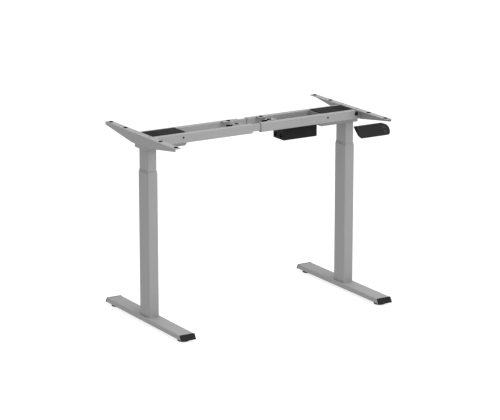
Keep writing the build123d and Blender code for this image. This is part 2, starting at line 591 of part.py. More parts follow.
def with_control_holes(rail):
    """The rail with holes in its underside for the control box screws."""
    for px in control_screw_x():
        rail -= post(px, RAIL_HALF_SPACING, (RAIL_BOTTOM, RAIL_BOTTOM + RAIL_WALL), M5_RADIUS)
    return rail


def lock_screw():
    """Screw in a rear rail's outer wall, backed off just clear of the centre rail."""
    height = RAIL_BOTTOM + LOCK_SCREW_HEIGHT
    head = rod_y(LOCK_SCREW_X, height, (RAIL_FACE_OUT, RAIL_FACE_OUT + M5_HEAD), M5_HEAD_RADIUS)
    head = fillet(head.edges().group_by(Axis.Y)[-1], M5_HEAD * HEAD_ROUND)
    plane = Plane(origin=(LOCK_SCREW_X, RAIL_FACE_OUT + M5_HEAD, height), z_dir=(0, 1, 0))
    head -= extrude(plane * RegularPolygon(SOCKET_KEY, 6), -SOCKET_KEY)
    tip = centre_rail_limits()[0][1] + GUIDE_CLEARANCE
    return head + rod_y(LOCK_SCREW_X, height, (tip, RAIL_FACE_OUT), M5_RADIUS)


def rail_plug():
    """Blanking plug in the outer face of a rear rail, beside the bracket."""
    x, height = WEB_FACE_IN - RAIL_PLUG_INSET, RAIL_BOTTOM + LOCK_SCREW_HEIGHT
    rim = rod_y(x, height, (RAIL_FACE_OUT, RAIL_FACE_OUT + RAIL_PLUG_RIM), RAIL_PLUG_RADIUS)
    rim = fillet(rim.edges().group_by(Axis.Y)[-1], RAIL_PLUG_RIM / 2)
    return rim + rod_y(x, height, (RAIL_FACE_OUT - RAIL_PLUG_BODY, RAIL_FACE_OUT), RAIL_PLUG_BODY_RADIUS)


def centre_rail_limits():
    """Y and Z limits of the rear centre rail inside the outer rails."""
    half = CENTRE_RAIL_WIDTH / 2
    top = RAIL_TOP - RAIL_WALL - CENTRE_RAIL_TOP_GAP
    return (RAIL_HALF_SPACING - half, RAIL_HALF_SPACING + half), (top - CENTRE_RAIL_HEIGHT, top)


def centre_rail():
    """Rear centre rail, which telescopes in both rear outer rails."""
    y, z = centre_rail_limits()
    x = (CENTRE_RAIL_SETBACK - COLUMN_X, COLUMN_X - CENTRE_RAIL_SETBACK)
    bore = bar_x(grow(y, -CENTRE_RAIL_WALL), grow(z, -CENTRE_RAIL_WALL), x, CENTRE_RAIL_CORNER / 2)
    return bar_x(y, z, x, CENTRE_RAIL_CORNER) - bore


def rail_slider():
    """Plastic sleeve in the mouth of a rear outer rail, round the centre rail."""
    outer_y = grow((RAIL_FACE_IN, RAIL_FACE_OUT), -RAIL_WALL)
    outer_z = grow((RAIL_BOTTOM, RAIL_TOP), -RAIL_WALL)
    inner_y, inner_z = (grow(limits, GUIDE_CLEARANCE) for limits in centre_rail_limits())
    x = (RAIL_INNER_END, RAIL_INNER_END + SLIDER_LENGTH)
    hole = bar_x(inner_y, inner_z, x, CENTRE_RAIL_CORNER)
    return bar_x(outer_y, outer_z, x, RAIL_CORNER - RAIL_WALL) - hole


# ---------------------------------------------------------------- control box
def control_limits():
    """X, Y and Z limits of the control box body under the right rails."""
    top = RAIL_BOTTOM - LID_SHEET
    return ((CONTROL_NEAR_END, CONTROL_NEAR_END + CONTROL_LENGTH),
            (-CONTROL_HALF_WIDTH, CONTROL_HALF_WIDTH), (top - CONTROL_HEIGHT, top))


def control_screw_x():
    """X of the screws that hang the control box from the rails."""
    near, far = control_limits()[0]
    return [near + CONTROL_SCREW_INSET, far - CONTROL_SCREW_INSET]


def socket_places():
    """Centre Y, side (-1 near end, +1 far end), width and height of each socket."""
    half = SOCKET_SPACING / 2
    return [(-half, -1, SOCKET_WIDTH, SOCKET_HEIGHT), (half, -1, SOCKET_WIDTH, SOCKET_HEIGHT),
            (-half, 1, SOCKET_WIDTH, SOCKET_HEIGHT), (half / 2, 1, INLET_WIDTH, INLET_HEIGHT)]


def socket_block(y, side, width, height, wall):
    """Space taken by a socket, grown by a wall, from the end face of the box inwards."""
    x = control_limits()[0]
    centre = RAIL_BOTTOM - SOCKET_DROP
    depth = (x[0], x[0] + SOCKET_DEPTH) if side < 0 else (x[1] - SOCKET_DEPTH, x[1])
    return block(depth, grow((y, y), width / 2 + wall), grow((centre, centre), height / 2 + wall))


def control_case():
    """Moulded case of the control box, open at the top, with an aperture for each socket."""
    x, y, z = control_limits()
    case = block(x, y, z)
    case = fillet(case.edges().filter_by(Axis.Z), CONTROL_CORNER)
    case = chamfer(case.edges().group_by(Axis.Z)[0], CONTROL_CHAMFER)
    case -= block(grow(x, -CONTROL_WALL), grow(y, -CONTROL_WALL), (z[0] + CONTROL_WALL, z[1]))
    for place in socket_places():
        case -= socket_block(*place, SOCKET_WALL)
    return case


def control_lid():
    """Steel lid of the control box, wide enough to bolt up to both rails."""
    x, _, z = control_limits()
    lid = block(x, (-LID_HALF_WIDTH, LID_HALF_WIDTH), (z[1], RAIL_BOTTOM))
    lid = fillet(lid.edges().filter_by(Axis.Z), CONTROL_CORNER)
    for px in control_screw_x():
        for end in (-1, 1):
            lid -= post(px, end * RAIL_HALF_SPACING, (z[1], RAIL_BOTTOM), M5_RADIUS)
    return lid


def control_screws():
    """Screws up through the lid into the undersides of the rails."""
    seat = RAIL_BOTTOM - LID_SHEET
    screws = []
    for px in control_screw_x():
        for end in (-1, 1):
            y = end * RAIL_HALF_SPACING
            head = post(px, y, (seat - M5_HEAD, seat), M5_HEAD_RADIUS)
            head = fillet(head.edges().group_by(Axis.Z)[0], M5_HEAD * HEAD_ROUND)
            head -= hex_socket(px, y, seat - M5_HEAD)
            screws.append(head + post(px, y, (seat, RAIL_BOTTOM + RAIL_WALL), M5_RADIUS))
    return screws


def control_sockets():
    """Sockets in the ends of the box: two motors, the handset and the mains inlet."""
    shells = []
    for y, side, width, height in socket_places():
        shell = socket_block(y, side, width, height, SOCKET_WALL)
        cavity = Pos(side * SOCKET_WALL, 0, 0) * socket_block(y, side, width, height, 0)
        shells.append(shell - cavity)
    return shells


def control_board():
    """Circuit board on the floor of the control box."""
    x, y, z = control_limits()
    inside_x = grow(x, -SOCKET_DEPTH - CONTROL_WALL)
    inside_y = grow(y, -CONTROL_WALL)
    height = z[0] + CONTROL_WALL + BOARD_STANDOFF
    board = block(inside_x, inside_y, (height, height + BOARD_SHEET))
    for px in (inside_x[0] + BOARD_STANDOFF, inside_x[1] - BOARD_STANDOFF):
        for py in (inside_y[0] + BOARD_STANDOFF, inside_y[1] - BOARD_STANDOFF):
            board += post(px, py, (z[0] + CONTROL_WALL, height), BOARD_STANDOFF / 2)
    return board


# ---------------------------------------------------------------- handset
def handset_side(setback=0.0):
    """Side outline of the handset as Y, Z points, pulled in by a setback."""
    back, front = -HANDSET_BACK, -HANDSET_BACK - HANDSET_TOP_DEPTH
    toe, top = front - HANDSET_LEAN, PAD_TOP
    points = [(back, top), (front, top), (toe, top - HANDSET_FACE_DROP),
              (toe + HANDSET_CHIN_BACK, top - HANDSET_FACE_DROP - HANDSET_CHIN),
              (back, top - HANDSET_BACK_DROP)]
    face = make_face(Polyline(*points, close=True))
    return offset(face, -setback, kind=Kind.INTERSECTION) if setback else face


def handset_block(setback=0.0):
    """Handset body: the side outline run along X and trimmed to its rounded front view."""
    x = (HANDSET_LEFT, HANDSET_LEFT + HANDSET_LENGTH)
    side = Plane(origin=(x[0], 0, 0), x_dir=(0, 1, 0), z_dir=(1, 0, 0))
    wedge = extrude(side * handset_side(setback), HANDSET_LENGTH)
    bottom = PAD_TOP - HANDSET_FACE_DROP - HANDSET_CHIN
    limits_y = (-HANDSET_FRONT, -HANDSET_BACK)
    trim = block(grow(x, -setback), limits_y, (bottom + setback, PAD_TOP - setback))
    upright = trim.edges().filter_by(Axis.Y)
    right = upright.group_by(Axis.X)[-1]
    trim = fillet(right, HANDSET_RIGHT_ROUND - setback)
    low_left = trim.edges().filter_by(Axis.Y).group_by(Axis.X)[0].sort_by(Axis.Z)[0]
    return wedge & fillet(low_left, HANDSET_LEFT_ROUND - setback)


def face_plane():
    """Plane on the handset's sloping face: X to the right, Y up the slope, Z out of the face."""
    slope = math.hypot(HANDSET_LEAN, HANDSET_FACE_DROP)
    up = (0, HANDSET_LEAN / slope, HANDSET_FACE_DROP / slope)
    out = (0, -up[2], up[1])
    toe = (HANDSET_LEFT, -HANDSET_FRONT, PAD_TOP - HANDSET_FACE_DROP)
    return Plane(origin=toe, x_dir=(1, 0, 0), z_dir=out)


def key_block(index, gap, depth, proud):
    """Space of a key on the face, grown by a gap, from a depth to a height: index 0 is down, 1 is up."""
    slope = math.hypot(HANDSET_LEAN, HANDSET_FACE_DROP)
    centre = (HANDSET_LENGTH - KEY_INSET, slope / 2 + (index - 0.5) * KEY_PITCH)
    outline = Pos(*centre) * RectangleRounded(KEY_LENGTH + 2 * gap, KEY_HEIGHT + 2 * gap, KEY_CORNER + gap)
    plane = face_plane()
    back = Plane(origin=plane.origin - plane.z_dir * depth, x_dir=plane.x_dir, z_dir=plane.z_dir)
    return extrude(back * outline, depth + proud)


def handset_case():
    """Moulded case of the handset, hollow behind its face panel, with two screw holes."""
    case = handset_block() - face_panel_slab() - handset_block(HANDSET_WALL)
    y, top = -HANDSET_BACK - HANDSET_HOLE_BACK, PAD_TOP
    for px in handset_hole_x():
        boss = post(px, y, (top - HANDSET_BACK_DROP - HANDSET_BOSS_LAP, top), 2 * HANDSET_HOLE_RADIUS)
        case += boss & handset_block()
        case -= post(px, y, (top - HANDSET_FACE_DROP, top), HANDSET_HOLE_RADIUS)
    for index in (0, 1):
        case -= key_block(index, KEY_GAP, KEY_BODY + KEY_TRAVEL + KEY_GAP, 0)
    return case


def handset_hole_x():
    """X of the two holes that screw the handset under the desktop."""
    return [HANDSET_LEFT + HANDSET_HOLE_INSET, HANDSET_LEFT + HANDSET_LENGTH - HANDSET_HOLE_INSET]


def face_panel_slab():
    """The outermost layer of the handset behind its sloping face."""
    slope = math.hypot(HANDSET_LEAN, HANDSET_FACE_DROP)
    plane = face_plane()
    outline = Pos(HANDSET_LENGTH / 2, slope / 2) * Rectangle(HANDSET_LENGTH, slope - 2 * FACE_MARGIN)
    return extrude(plane * outline, -FACE_SHEET) & handset_block()


def handset_face():
    """Face panel with an aperture for each key."""
    panel = face_panel_slab()
    for index in (0, 1):
        panel -= key_block(index, KEY_GAP, FACE_SHEET, 0)
    return panel


def handset_key(index):
    """Key that stands a little proud of the face: index 0 is down, 1 is up."""
    cap = key_block(index, 0, KEY_BODY, KEY_PROUD)
    outer = cap.faces().sort_by(lambda face: face.center().Y)[0]
    return chamfer(outer.edges(), KEY_PROUD / 3)


# ---------------------------------------------------------------- build
def build():
    """Write every node."""
    save_pair("foot_tube", foot_tube())
    save_pair("foot_caps", both_y(foot_cap()))
    save_pair("front_glide", glide(-1))
    save_pair("rear_glide", glide(1))
    save_pair("foot_screws", foot_screws())
    save_pair("outer_tube", outer_tube())
    save_pair("collar", collar())
    save_pair("push_tube", push_tube())
    save_pair("spindle_nut", spindle_nut())
    save_pair("inner_tube", inner_tube())
    save_pair("guide_ring", guide_ring())
    save_pair("spindle", spindle())
    save_pair("gearbox", gearbox())
    save_pair("gearbox_screws", gearbox_screws())
    save_pair("motor", motor())
    save_pair("motor_housing", motor_housing())
    save_pair("housing_cover", housing_cover())
    save_pair("bracket", bracket())
    save("right_desktop_pads", pads() + [buffer_strip(TAB_HOLE_X - STRIP_SETBACK)])
    save("left_desktop_pads", [mirror(grommet, about=Plane.YZ) for grommet in pads()]
         + [buffer_strip(-TAB_HOLE_X - STRIP_SETBACK_LEFT)])
    save_pair("button_screws", bracket_screws() + both_y(lock_screw()))
    save_pair("rail_plugs", both_y(rail_plug()))
    save_pair("rail_sliders", both_y(rail_slider()))
    rear = rear_rail()
    save("left_rear_rail", mirror(rear, about=Plane.YZ))
    save("left_front_rail", mirror(mirror(rear, about=Plane.YZ), about=Plane.XZ))
    save("right_rear_rail", with_control_holes(rear))
    save("right_front_rail", mirror(with_control_holes(rear), about=Plane.XZ))
    save("centre_rear_rail", centre_rail())
    save("centre_front_rail", mirror(centre_rail(), about=Plane.XZ))
    save("control_case", control_case())
    save("control_lid", control_lid())
    save("control_screws", control_screws())
    save("control_sockets", control_sockets())
    save("control_board", control_board())
    save("handset_case", handset_case())
    save("handset_face", handset_face())
    save("down_key", handset_key(0))
    save("up_key", handset_key(1))


build()
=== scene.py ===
"""Looks of an electric sit-stand desk frame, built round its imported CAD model."""

from __future__ import annotations

import logging
import math
from collections.abc import Callable, Iterable
from dataclasses import dataclass
from enum import Enum

import bpy
from mathutils import Matrix, Vector

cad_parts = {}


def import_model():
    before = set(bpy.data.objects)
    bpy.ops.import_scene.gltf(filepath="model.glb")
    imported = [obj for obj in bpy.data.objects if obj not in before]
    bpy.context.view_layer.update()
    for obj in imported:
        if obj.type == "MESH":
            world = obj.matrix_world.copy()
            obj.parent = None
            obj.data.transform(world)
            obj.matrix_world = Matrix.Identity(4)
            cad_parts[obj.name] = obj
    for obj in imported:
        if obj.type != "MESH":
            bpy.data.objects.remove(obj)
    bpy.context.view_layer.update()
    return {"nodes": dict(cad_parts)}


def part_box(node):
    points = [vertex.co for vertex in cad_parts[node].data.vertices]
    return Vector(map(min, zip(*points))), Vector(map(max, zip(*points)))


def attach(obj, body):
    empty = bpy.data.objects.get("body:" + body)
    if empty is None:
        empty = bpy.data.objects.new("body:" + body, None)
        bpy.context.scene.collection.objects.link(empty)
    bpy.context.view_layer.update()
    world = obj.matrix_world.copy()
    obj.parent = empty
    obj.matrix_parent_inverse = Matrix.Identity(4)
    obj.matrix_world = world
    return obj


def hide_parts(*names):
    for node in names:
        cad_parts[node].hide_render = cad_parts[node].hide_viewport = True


logging.basicConfig(level=logging.INFO, format="%(name)s: %(message)s")
LOG = logging.getLogger("desk")

MM = 0.001
SMOOTH_ANGLE = math.radians(32)     # sharper edges stay crisp in the shading
FLAT_ANGLE = math.radians(1.0)      # flatter edges of a copied node are dissolved
MERGE = 2e-6                        # corners of a copied node closer than this are one
RING_MERGE = 1e-6                   # corners of a turned piece closer than this are one

BROAD_SCALE = 14.0                  # patches of tone per metre
FINE_DETAIL, BROAD_DETAIL = 4, 3
NOISE_ROUGHNESS = 0.55
EDGE_SAMPLES = 4
EDGE_TURN = (0.80, 0.995)           # cosines between which an edge fades into a flat
FINE_GLOSS, BROAD_GLOSS = 0.04, 0.03
CELL_SHARE = 0.8                    # size of a moulded cell against the grain
DEPTH_SHARE = 0.25                  # depth of the grain against its width

LEFT, RIGHT = "left", "right"
SIDES = (LEFT, RIGHT)
Colour = tuple[float, float, float]
Point = tuple[float, float, float]
Profile = tuple[tuple[float, float], ...]   # radii and heights of rings, mostly in millimetres


# ------------------------------------------------------------------ finishes
class Surface(Enum):
    """Families of surface, which differ in grain and in how they wear."""

    POWDER_COAT = "powder coat"
    MOULDED = "moulded plastic"
    RUBBER = "rubber"
    METAL = "bare metal"
    SATIN = "satin panel"


@dataclass(frozen=True)
class Finish:
    """One paint, plastic, rubber or metal, as a procedural material."""

    name: str
    slot: str
    surface: Surface
    colour: Colour
    roughness: float
    grain: float = 0.9 * MM
    relief: float = 0.10
    mottle: float = 0.05
    # Lighter colour along the edges: real wear on most finishes, a painted highlight on the collar and the
    # handset.
    wear_and_highlight: float = 0.10
    wear_and_highlight_colour: Colour = (0.55, 0.55, 0.56)
    edge: float = 0.8 * MM
    specular: float = 0.5
    ior: float = 1.5

    def material(self) -> bpy.types.Material:
        """Build the material, or return it if it was built before.

        Returns:
            A node material that reads Object coordinates only.
        """
        name = f"finish_{self.name}"
        if name in bpy.data.materials:
            return bpy.data.materials[name]
        material = bpy.data.materials.new(name)
        material.use_nodes = True
        tree = material.node_tree
        shader = tree.nodes["Principled BSDF"]
        shader.inputs["Metallic"].default_value = 1.0 if self.surface is Surface.METAL else 0.0
        shader.inputs["IOR"].default_value = self.ior
        shader.inputs["Specular IOR Level"].default_value = self.specular
        place = tree.nodes.new("ShaderNodeTexCoord").outputs["Object"]
        fine = self._noise(tree, place, 1 / self.grain, FINE_DETAIL)
        broad = self._noise(tree, place, BROAD_SCALE, BROAD_DETAIL)
        tree.links.new(self._tint(tree, fine, broad), shader.inputs["Base Color"])
        tree.links.new(self._gloss(tree, fine, broad), shader.inputs["Roughness"])
        tree.links.new(self._relief(tree, place, fine), shader.inputs["Normal"])
        return material

    def dress(self, *pieces: bpy.types.Object) -> None:
        """Give every piece this finish, and no other.

        Args:
            pieces: Mesh objects, CAD nodes among them.
        """
        for piece in pieces:
            piece.data.materials.clear()
            piece.data.materials.append(self.material())

    @staticmethod
    def _noise(tree: bpy.types.NodeTree, place: bpy.types.NodeSocket, scale: float,
               detail: float) -> bpy.types.NodeSocket:
        """Add noise to a material.

        Args:
            tree: Nodes of the material.
            place: Coordinates to read.
            scale: Patches per metre.
            detail: Finer layers in the noise.

        Returns:
            The noise's factor.
        """
        node = tree.nodes.new("ShaderNodeTexNoise")
        node.inputs["Scale"].default_value = scale
        node.inputs["Detail"].default_value = detail
        node.inputs["Roughness"].default_value = NOISE_ROUGHNESS
        tree.links.new(place, node.inputs["Vector"])
        return node.outputs["Fac"]

    @staticmethod
    def _range(tree: bpy.types.NodeTree, value: bpy.types.NodeSocket, low: float, high: float,
               start: float = 0.3, stop: float = 0.7) -> bpy.types.NodeSocket:
        """Map a value to a range.

        Args:
            tree: Nodes of the material.
            value: The value to map.
            low: Result at the start.
            high: Result at the stop.
            start: Value where the range starts.
            stop: Value where the range stops.

        Returns:
            The mapped value.
        """
        node = tree.nodes.new("ShaderNodeMapRange")
        for name, number in (("From Min", start), ("From Max", stop), ("To Min", low), ("To Max", high)):
            node.inputs[name].default_value = number
        tree.links.new(value, node.inputs["Value"])
        return node.outputs["Result"]

    @staticmethod
    def _joined(tree: bpy.types.NodeTree, operation: str, *values: bpy.types.NodeSocket | float
                ) -> bpy.types.NodeSocket:
        """Join values by arithmetic.

        Args:
            tree: Nodes of the material.
            operation: Name of the operation.
            values: Numbers, or sockets to link.

        Returns:
            The result.
        """
        node = tree.nodes.new("ShaderNodeMath")
        node.operation = operation
        for socket, value in zip(node.inputs, values):
            if isinstance(value, bpy.types.NodeSocket):
                tree.links.new(value, socket)
            else:
                socket.default_value = value
        return node.outputs["Value"]

    @staticmethod
    def _blend(tree: bpy.types.NodeTree, share: bpy.types.NodeSocket,
               first: Colour | bpy.types.NodeSocket, second: Colour) -> bpy.types.NodeSocket:
        """Blend two colours.

        Args:
            tree: Nodes of the material.
            share: How much of the second colour shows.
            first: Colour where the share is zero.
            second: Colour where the share is one.

        Returns:
            The blended colour.
        """
        node = tree.nodes.new("ShaderNodeMix")
        node.data_type = "RGBA"
        if isinstance(first, bpy.types.NodeSocket):
            tree.links.new(first, node.inputs["A"])
        else:
            node.inputs["A"].default_value = (*first, 1)
        node.inputs["B"].default_value = (*second, 1)
        tree.links.new(share, node.inputs["Factor"])
        return node.outputs["Result"]

    def _rounded(self, tree: bpy.types.NodeTree) -> bpy.types.NodeSocket:
        """Normals softly rounded over the edges.

        Args:
            tree: Nodes of the material.

        Returns:
            The normal.
        """
        node = tree.nodes.new("ShaderNodeBevel")
        node.samples = EDGE_SAMPLES
        node.inputs["Radius"].default_value = self.edge
        return node.outputs["Normal"]

    def _edges(self, tree: bpy.types.NodeTree) -> bpy.types.NodeSocket:
        """Mask that is one on edges and zero on flats.

        Args:
            tree: Nodes of the material.

        Returns:
            The mask.
        """
        plain = tree.nodes.new("ShaderNodeNewGeometry")
        dot = tree.nodes.new("ShaderNodeVectorMath")
        dot.operation = "DOT_PRODUCT"
        tree.links.new(self._rounded(tree), dot.inputs[0])
        tree.links.new(plain.outputs["Normal"], dot.inputs[1])
        return self._range(tree, dot.outputs["Value"], 1.0, 0.0, *EDGE_TURN)

    def _tint(self, tree: bpy.types.NodeTree, fine: bpy.types.NodeSocket,
              broad: bpy.types.NodeSocket) -> bpy.types.NodeSocket:
        """Colour with a mottle of shade, and lighter along edges: worn there on most finishes, a painted
        highlight on the collar and the handset.

        Args:
            tree: Nodes of the material.
            fine: Fine noise.
            broad: Broad noise.

        Returns:
            The colour.
        """
        darker: Colour = tuple(c * (1 - self.mottle) for c in self.colour)
        lighter: Colour = tuple(min(1, c * (1 + self.mottle)) for c in self.colour)
        both = self._joined(tree, "MULTIPLY_ADD", fine, 0.5, self._range(tree, broad, 0.0, 0.5))
        shade = self._blend(tree, both, darker, lighter)
        # Edge mask times the wear share: worn edges, and on the collar and handset a painted highlight line.
        amount = self._joined(tree, "MULTIPLY", self._edges(tree),
                              self._range(tree, broad, 0.0, self.wear_and_highlight, 0.35, 0.65))
        return self._blend(tree, amount, shade, self.wear_and_highlight_colour)

    def _gloss(self, tree: bpy.types.NodeTree, fine: bpy.types.NodeSocket,
               broad: bpy.types.NodeSocket) -> bpy.types.NodeSocket:
        """Roughness that varies a little over the surface.

        Args:
            tree: Nodes of the material.
            fine: Fine noise.
            broad: Broad noise.

        Returns:
            The roughness.
        """
        near = self._range(tree, fine, self.roughness - FINE_GLOSS, self.roughness + FINE_GLOSS)
        return self._joined(tree, "ADD", near, self._range(tree, broad, -BROAD_GLOSS, BROAD_GLOSS))

    def _relief(self, tree: bpy.types.NodeTree, place: bpy.types.NodeSocket,
                fine: bpy.types.NodeSocket) -> bpy.types.NodeSocket:
        """Grain of the surface over softly rounded edges.

        Args:
            tree: Nodes of the material.
            place: Coordinates to read.
            fine: Fine noise.

        Returns:
            The normal.
        """
        height = fine
        if self.surface in (Surface.MOULDED, Surface.RUBBER):
            cells = tree.nodes.new("ShaderNodeTexVoronoi")
            cells.inputs["Scale"].default_value = 1 / (self.grain * CELL_SHARE)
            tree.links.new(place, cells.inputs["Vector"])
            height = cells.outputs["Distance"]
        bump = tree.nodes.new("ShaderNodeBump")
        bump.inputs["Strength"].default_value = self.relief
        bump.inputs["Distance"].default_value = self.grain * DEPTH_SHARE
        tree.links.new(height, bump.inputs["Height"])
        tree.links.new(self._rounded(tree), bump.inputs["Normal"])
        return bump.outputs["Normal"]


FRAME_PAINT = Finish("grey_powder_coat", "frame_paint", Surface.POWDER_COAT, (0.205, 0.205, 0.207), 0.52,
                     grain=1.1 * MM, relief=0.16, mottle=0.04, wear_and_highlight=0.35, wear_and_highlight_colour=(0.36, 0.36, 0.365),
                     specular=0.4)
# The collar's light edge colour is a painted highlight along its lip, not wear.
COLLAR_PLASTIC = Finish("grey_collar_plastic", "collar_plastic", Surface.MOULDED, (0.190, 0.190, 0.193), 0.55,
                        wear_and_highlight=1.0, wear_and_highlight_colour=(0.42, 0.42, 0.42), edge=1.3 * MM, specular=0.35)
BLACK_PLASTIC = Finish("black_moulded_plastic", "black_plastic", Surface.MOULDED, (0.012, 0.012, 0.0125), 0.46,
                       wear_and_highlight=0.25, wear_and_highlight_colour=(0.05, 0.05, 0.05), specular=0.4, ior=1.18)
COVER_PLASTIC = Finish("black_cover_plastic", "black_plastic", Surface.MOULDED, (0.016, 0.016, 0.0165), 0.50,
                       wear_and_highlight=0.25, wear_and_highlight_colour=(0.07, 0.07, 0.07), specular=0.3, ior=1.06)
GLIDE_RUBBER = Finish("black_glide_rubber", "glide_rubber", Surface.RUBBER, (0.008, 0.008, 0.008), 0.70,
                      wear_and_highlight=0.3, wear_and_highlight_colour=(0.04, 0.04, 0.04), specular=0.2, ior=1.15)
PAD_RUBBER = Finish("black_pad_rubber", "pad_rubber", Surface.RUBBER, (0.004, 0.004, 0.004), 0.66,
                    wear_and_highlight=0.1, wear_and_highlight_colour=(0.02, 0.02, 0.02), specular=0.1, ior=1.06)
ZINC = Finish("zinc_plated_steel", "zinc_steel", Surface.METAL, (0.62, 0.62, 0.60), 0.36,
              wear_and_highlight=0.2, wear_and_highlight_colour=(0.8, 0.8, 0.8))
BLACK_STEEL = Finish("black_oxide_steel", "black_steel", Surface.POWDER_COAT, (0.014, 0.014, 0.015), 0.34,
                     wear_and_highlight=0.3, wear_and_highlight_colour=(0.10, 0.10, 0.10), specular=0.4, ior=1.25)
SCREW_PAINT = Finish("dull_grey_steel", "black_steel", Surface.POWDER_COAT, (0.12, 0.12, 0.122), 0.40,
                     wear_and_highlight=0.3)
ACETAL = Finish("natural_acetal", "nut_plastic", Surface.MOULDED, (0.66, 0.64, 0.58), 0.45)
SCREW_STEEL = Finish("greased_screw_steel", "spindle_steel", Surface.METAL, (0.50, 0.50, 0.50), 0.30)
GEARBOX_ALLOY = Finish("die_cast_alloy", "gearbox_alloy", Surface.METAL, (0.55, 0.55, 0.56), 0.52,
                       grain=2 * MM)
MOTOR_ENAMEL = Finish("motor_enamel", "motor_steel", Surface.POWDER_COAT, (0.05, 0.05, 0.055), 0.35)
CONTROL_PLASTIC = Finish("control_box_plastic", "control_plastic", Surface.MOULDED,
                         (0.011, 0.011, 0.0115), 0.45, wear_and_highlight=0.25, wear_and_highlight_colour=(0.05, 0.05, 0.05),
                         specular=0.35, ior=1.15)
CONTROL_PAINT = Finish("control_lid_paint", "control_paint", Surface.POWDER_COAT, (0.009, 0.009, 0.0095), 0.42,
                       wear_and_highlight=0.3, wear_and_highlight_colour=(0.06, 0.06, 0.06), specular=0.3, ior=1.12)
SOCKET_PLASTIC = Finish("socket_plastic", "socket_plastic", Surface.MOULDED, (0.004, 0.004, 0.004), 0.60,
                        specular=0.1, ior=1.1)
BOARD = Finish("circuit_board", "board_laminate", Surface.SATIN, (0.02, 0.14, 0.05), 0.40)
# The handset's light edge colour is a painted highlight along the crease between its top and face, not wear.
HANDSET_PLASTIC = Finish("handset_plastic", "handset_plastic", Surface.MOULDED, (0.009, 0.009, 0.0095), 0.50,
                         wear_and_highlight=0.6, wear_and_highlight_colour=(0.14, 0.14, 0.14), edge=1.1 * MM, specular=0.25, ior=1.12)
HANDSET_PANEL = Finish("handset_panel", "handset_panel", Surface.SATIN, (0.016, 0.016, 0.0165), 0.44,
                       relief=0.04, wear_and_highlight=0.15, wear_and_highlight_colour=(0.06, 0.06, 0.06), specular=0.2, ior=1.12)
CONTACT = Finish("brass_contact", "zinc_steel", Surface.METAL, (0.75, 0.60, 0.30), 0.30)
MARK_PRINT = Finish("grey_mark", "key_plastic", Surface.SATIN, (0.05, 0.05, 0.052), 0.45,
                    specular=0.2, ior=1.2)
KEY_PLASTIC = Finish("key_plastic", "key_plastic", Surface.MOULDED, (0.018, 0.018, 0.019), 0.42,
                     specular=0.3, ior=1.2)

NODE_FINISHES: dict[str, Finish] = {
    "foot_tube": FRAME_PAINT, "outer_tube": FRAME_PAINT, "inner_tube": FRAME_PAINT, "bracket": FRAME_PAINT,
    "motor_housing": FRAME_PAINT, "front_rail": FRAME_PAINT, "rear_rail": FRAME_PAINT,
    "collar": COLLAR_PLASTIC, "foot_caps": BLACK_PLASTIC, "housing_cover": COVER_PLASTIC,
    "rail_plugs": BLACK_PLASTIC, "front_glide": GLIDE_RUBBER, "rear_glide": GLIDE_RUBBER,
    "desktop_pads": PAD_RUBBER, "foot_screws": ZINC, "gearbox_screws": ZINC, "push_tube": ZINC,
    "button_screws": BLACK_STEEL, "control_screws": BLACK_STEEL, "spindle_nut": ACETAL, "guide_ring": ACETAL,
    "rail_sliders": BLACK_PLASTIC, "spindle": SCREW_STEEL, "gearbox": GEARBOX_ALLOY, "motor": MOTOR_ENAMEL,
    "control_case": CONTROL_PLASTIC, "control_lid": CONTROL_PAINT, "control_sockets": SOCKET_PLASTIC,
    "control_board": BOARD, "handset_case": HANDSET_PLASTIC, "handset_face": HANDSET_PANEL,
    "down_key": KEY_PLASTIC, "up_key": KEY_PLASTIC,
}


def finish_of(node: str) -> Finish:
    """Finish of a CAD node, found by its name without the side.

    Args:
        node: The node's name.

    Returns:
        The finish that the node's surface has.
    """
    for prefix in ("left_", "right_", "centre_"):
        if node.startswith(prefix):
            return NODE_FINISHES[node[len(prefix):]]
    return NODE_FINISHES[node]


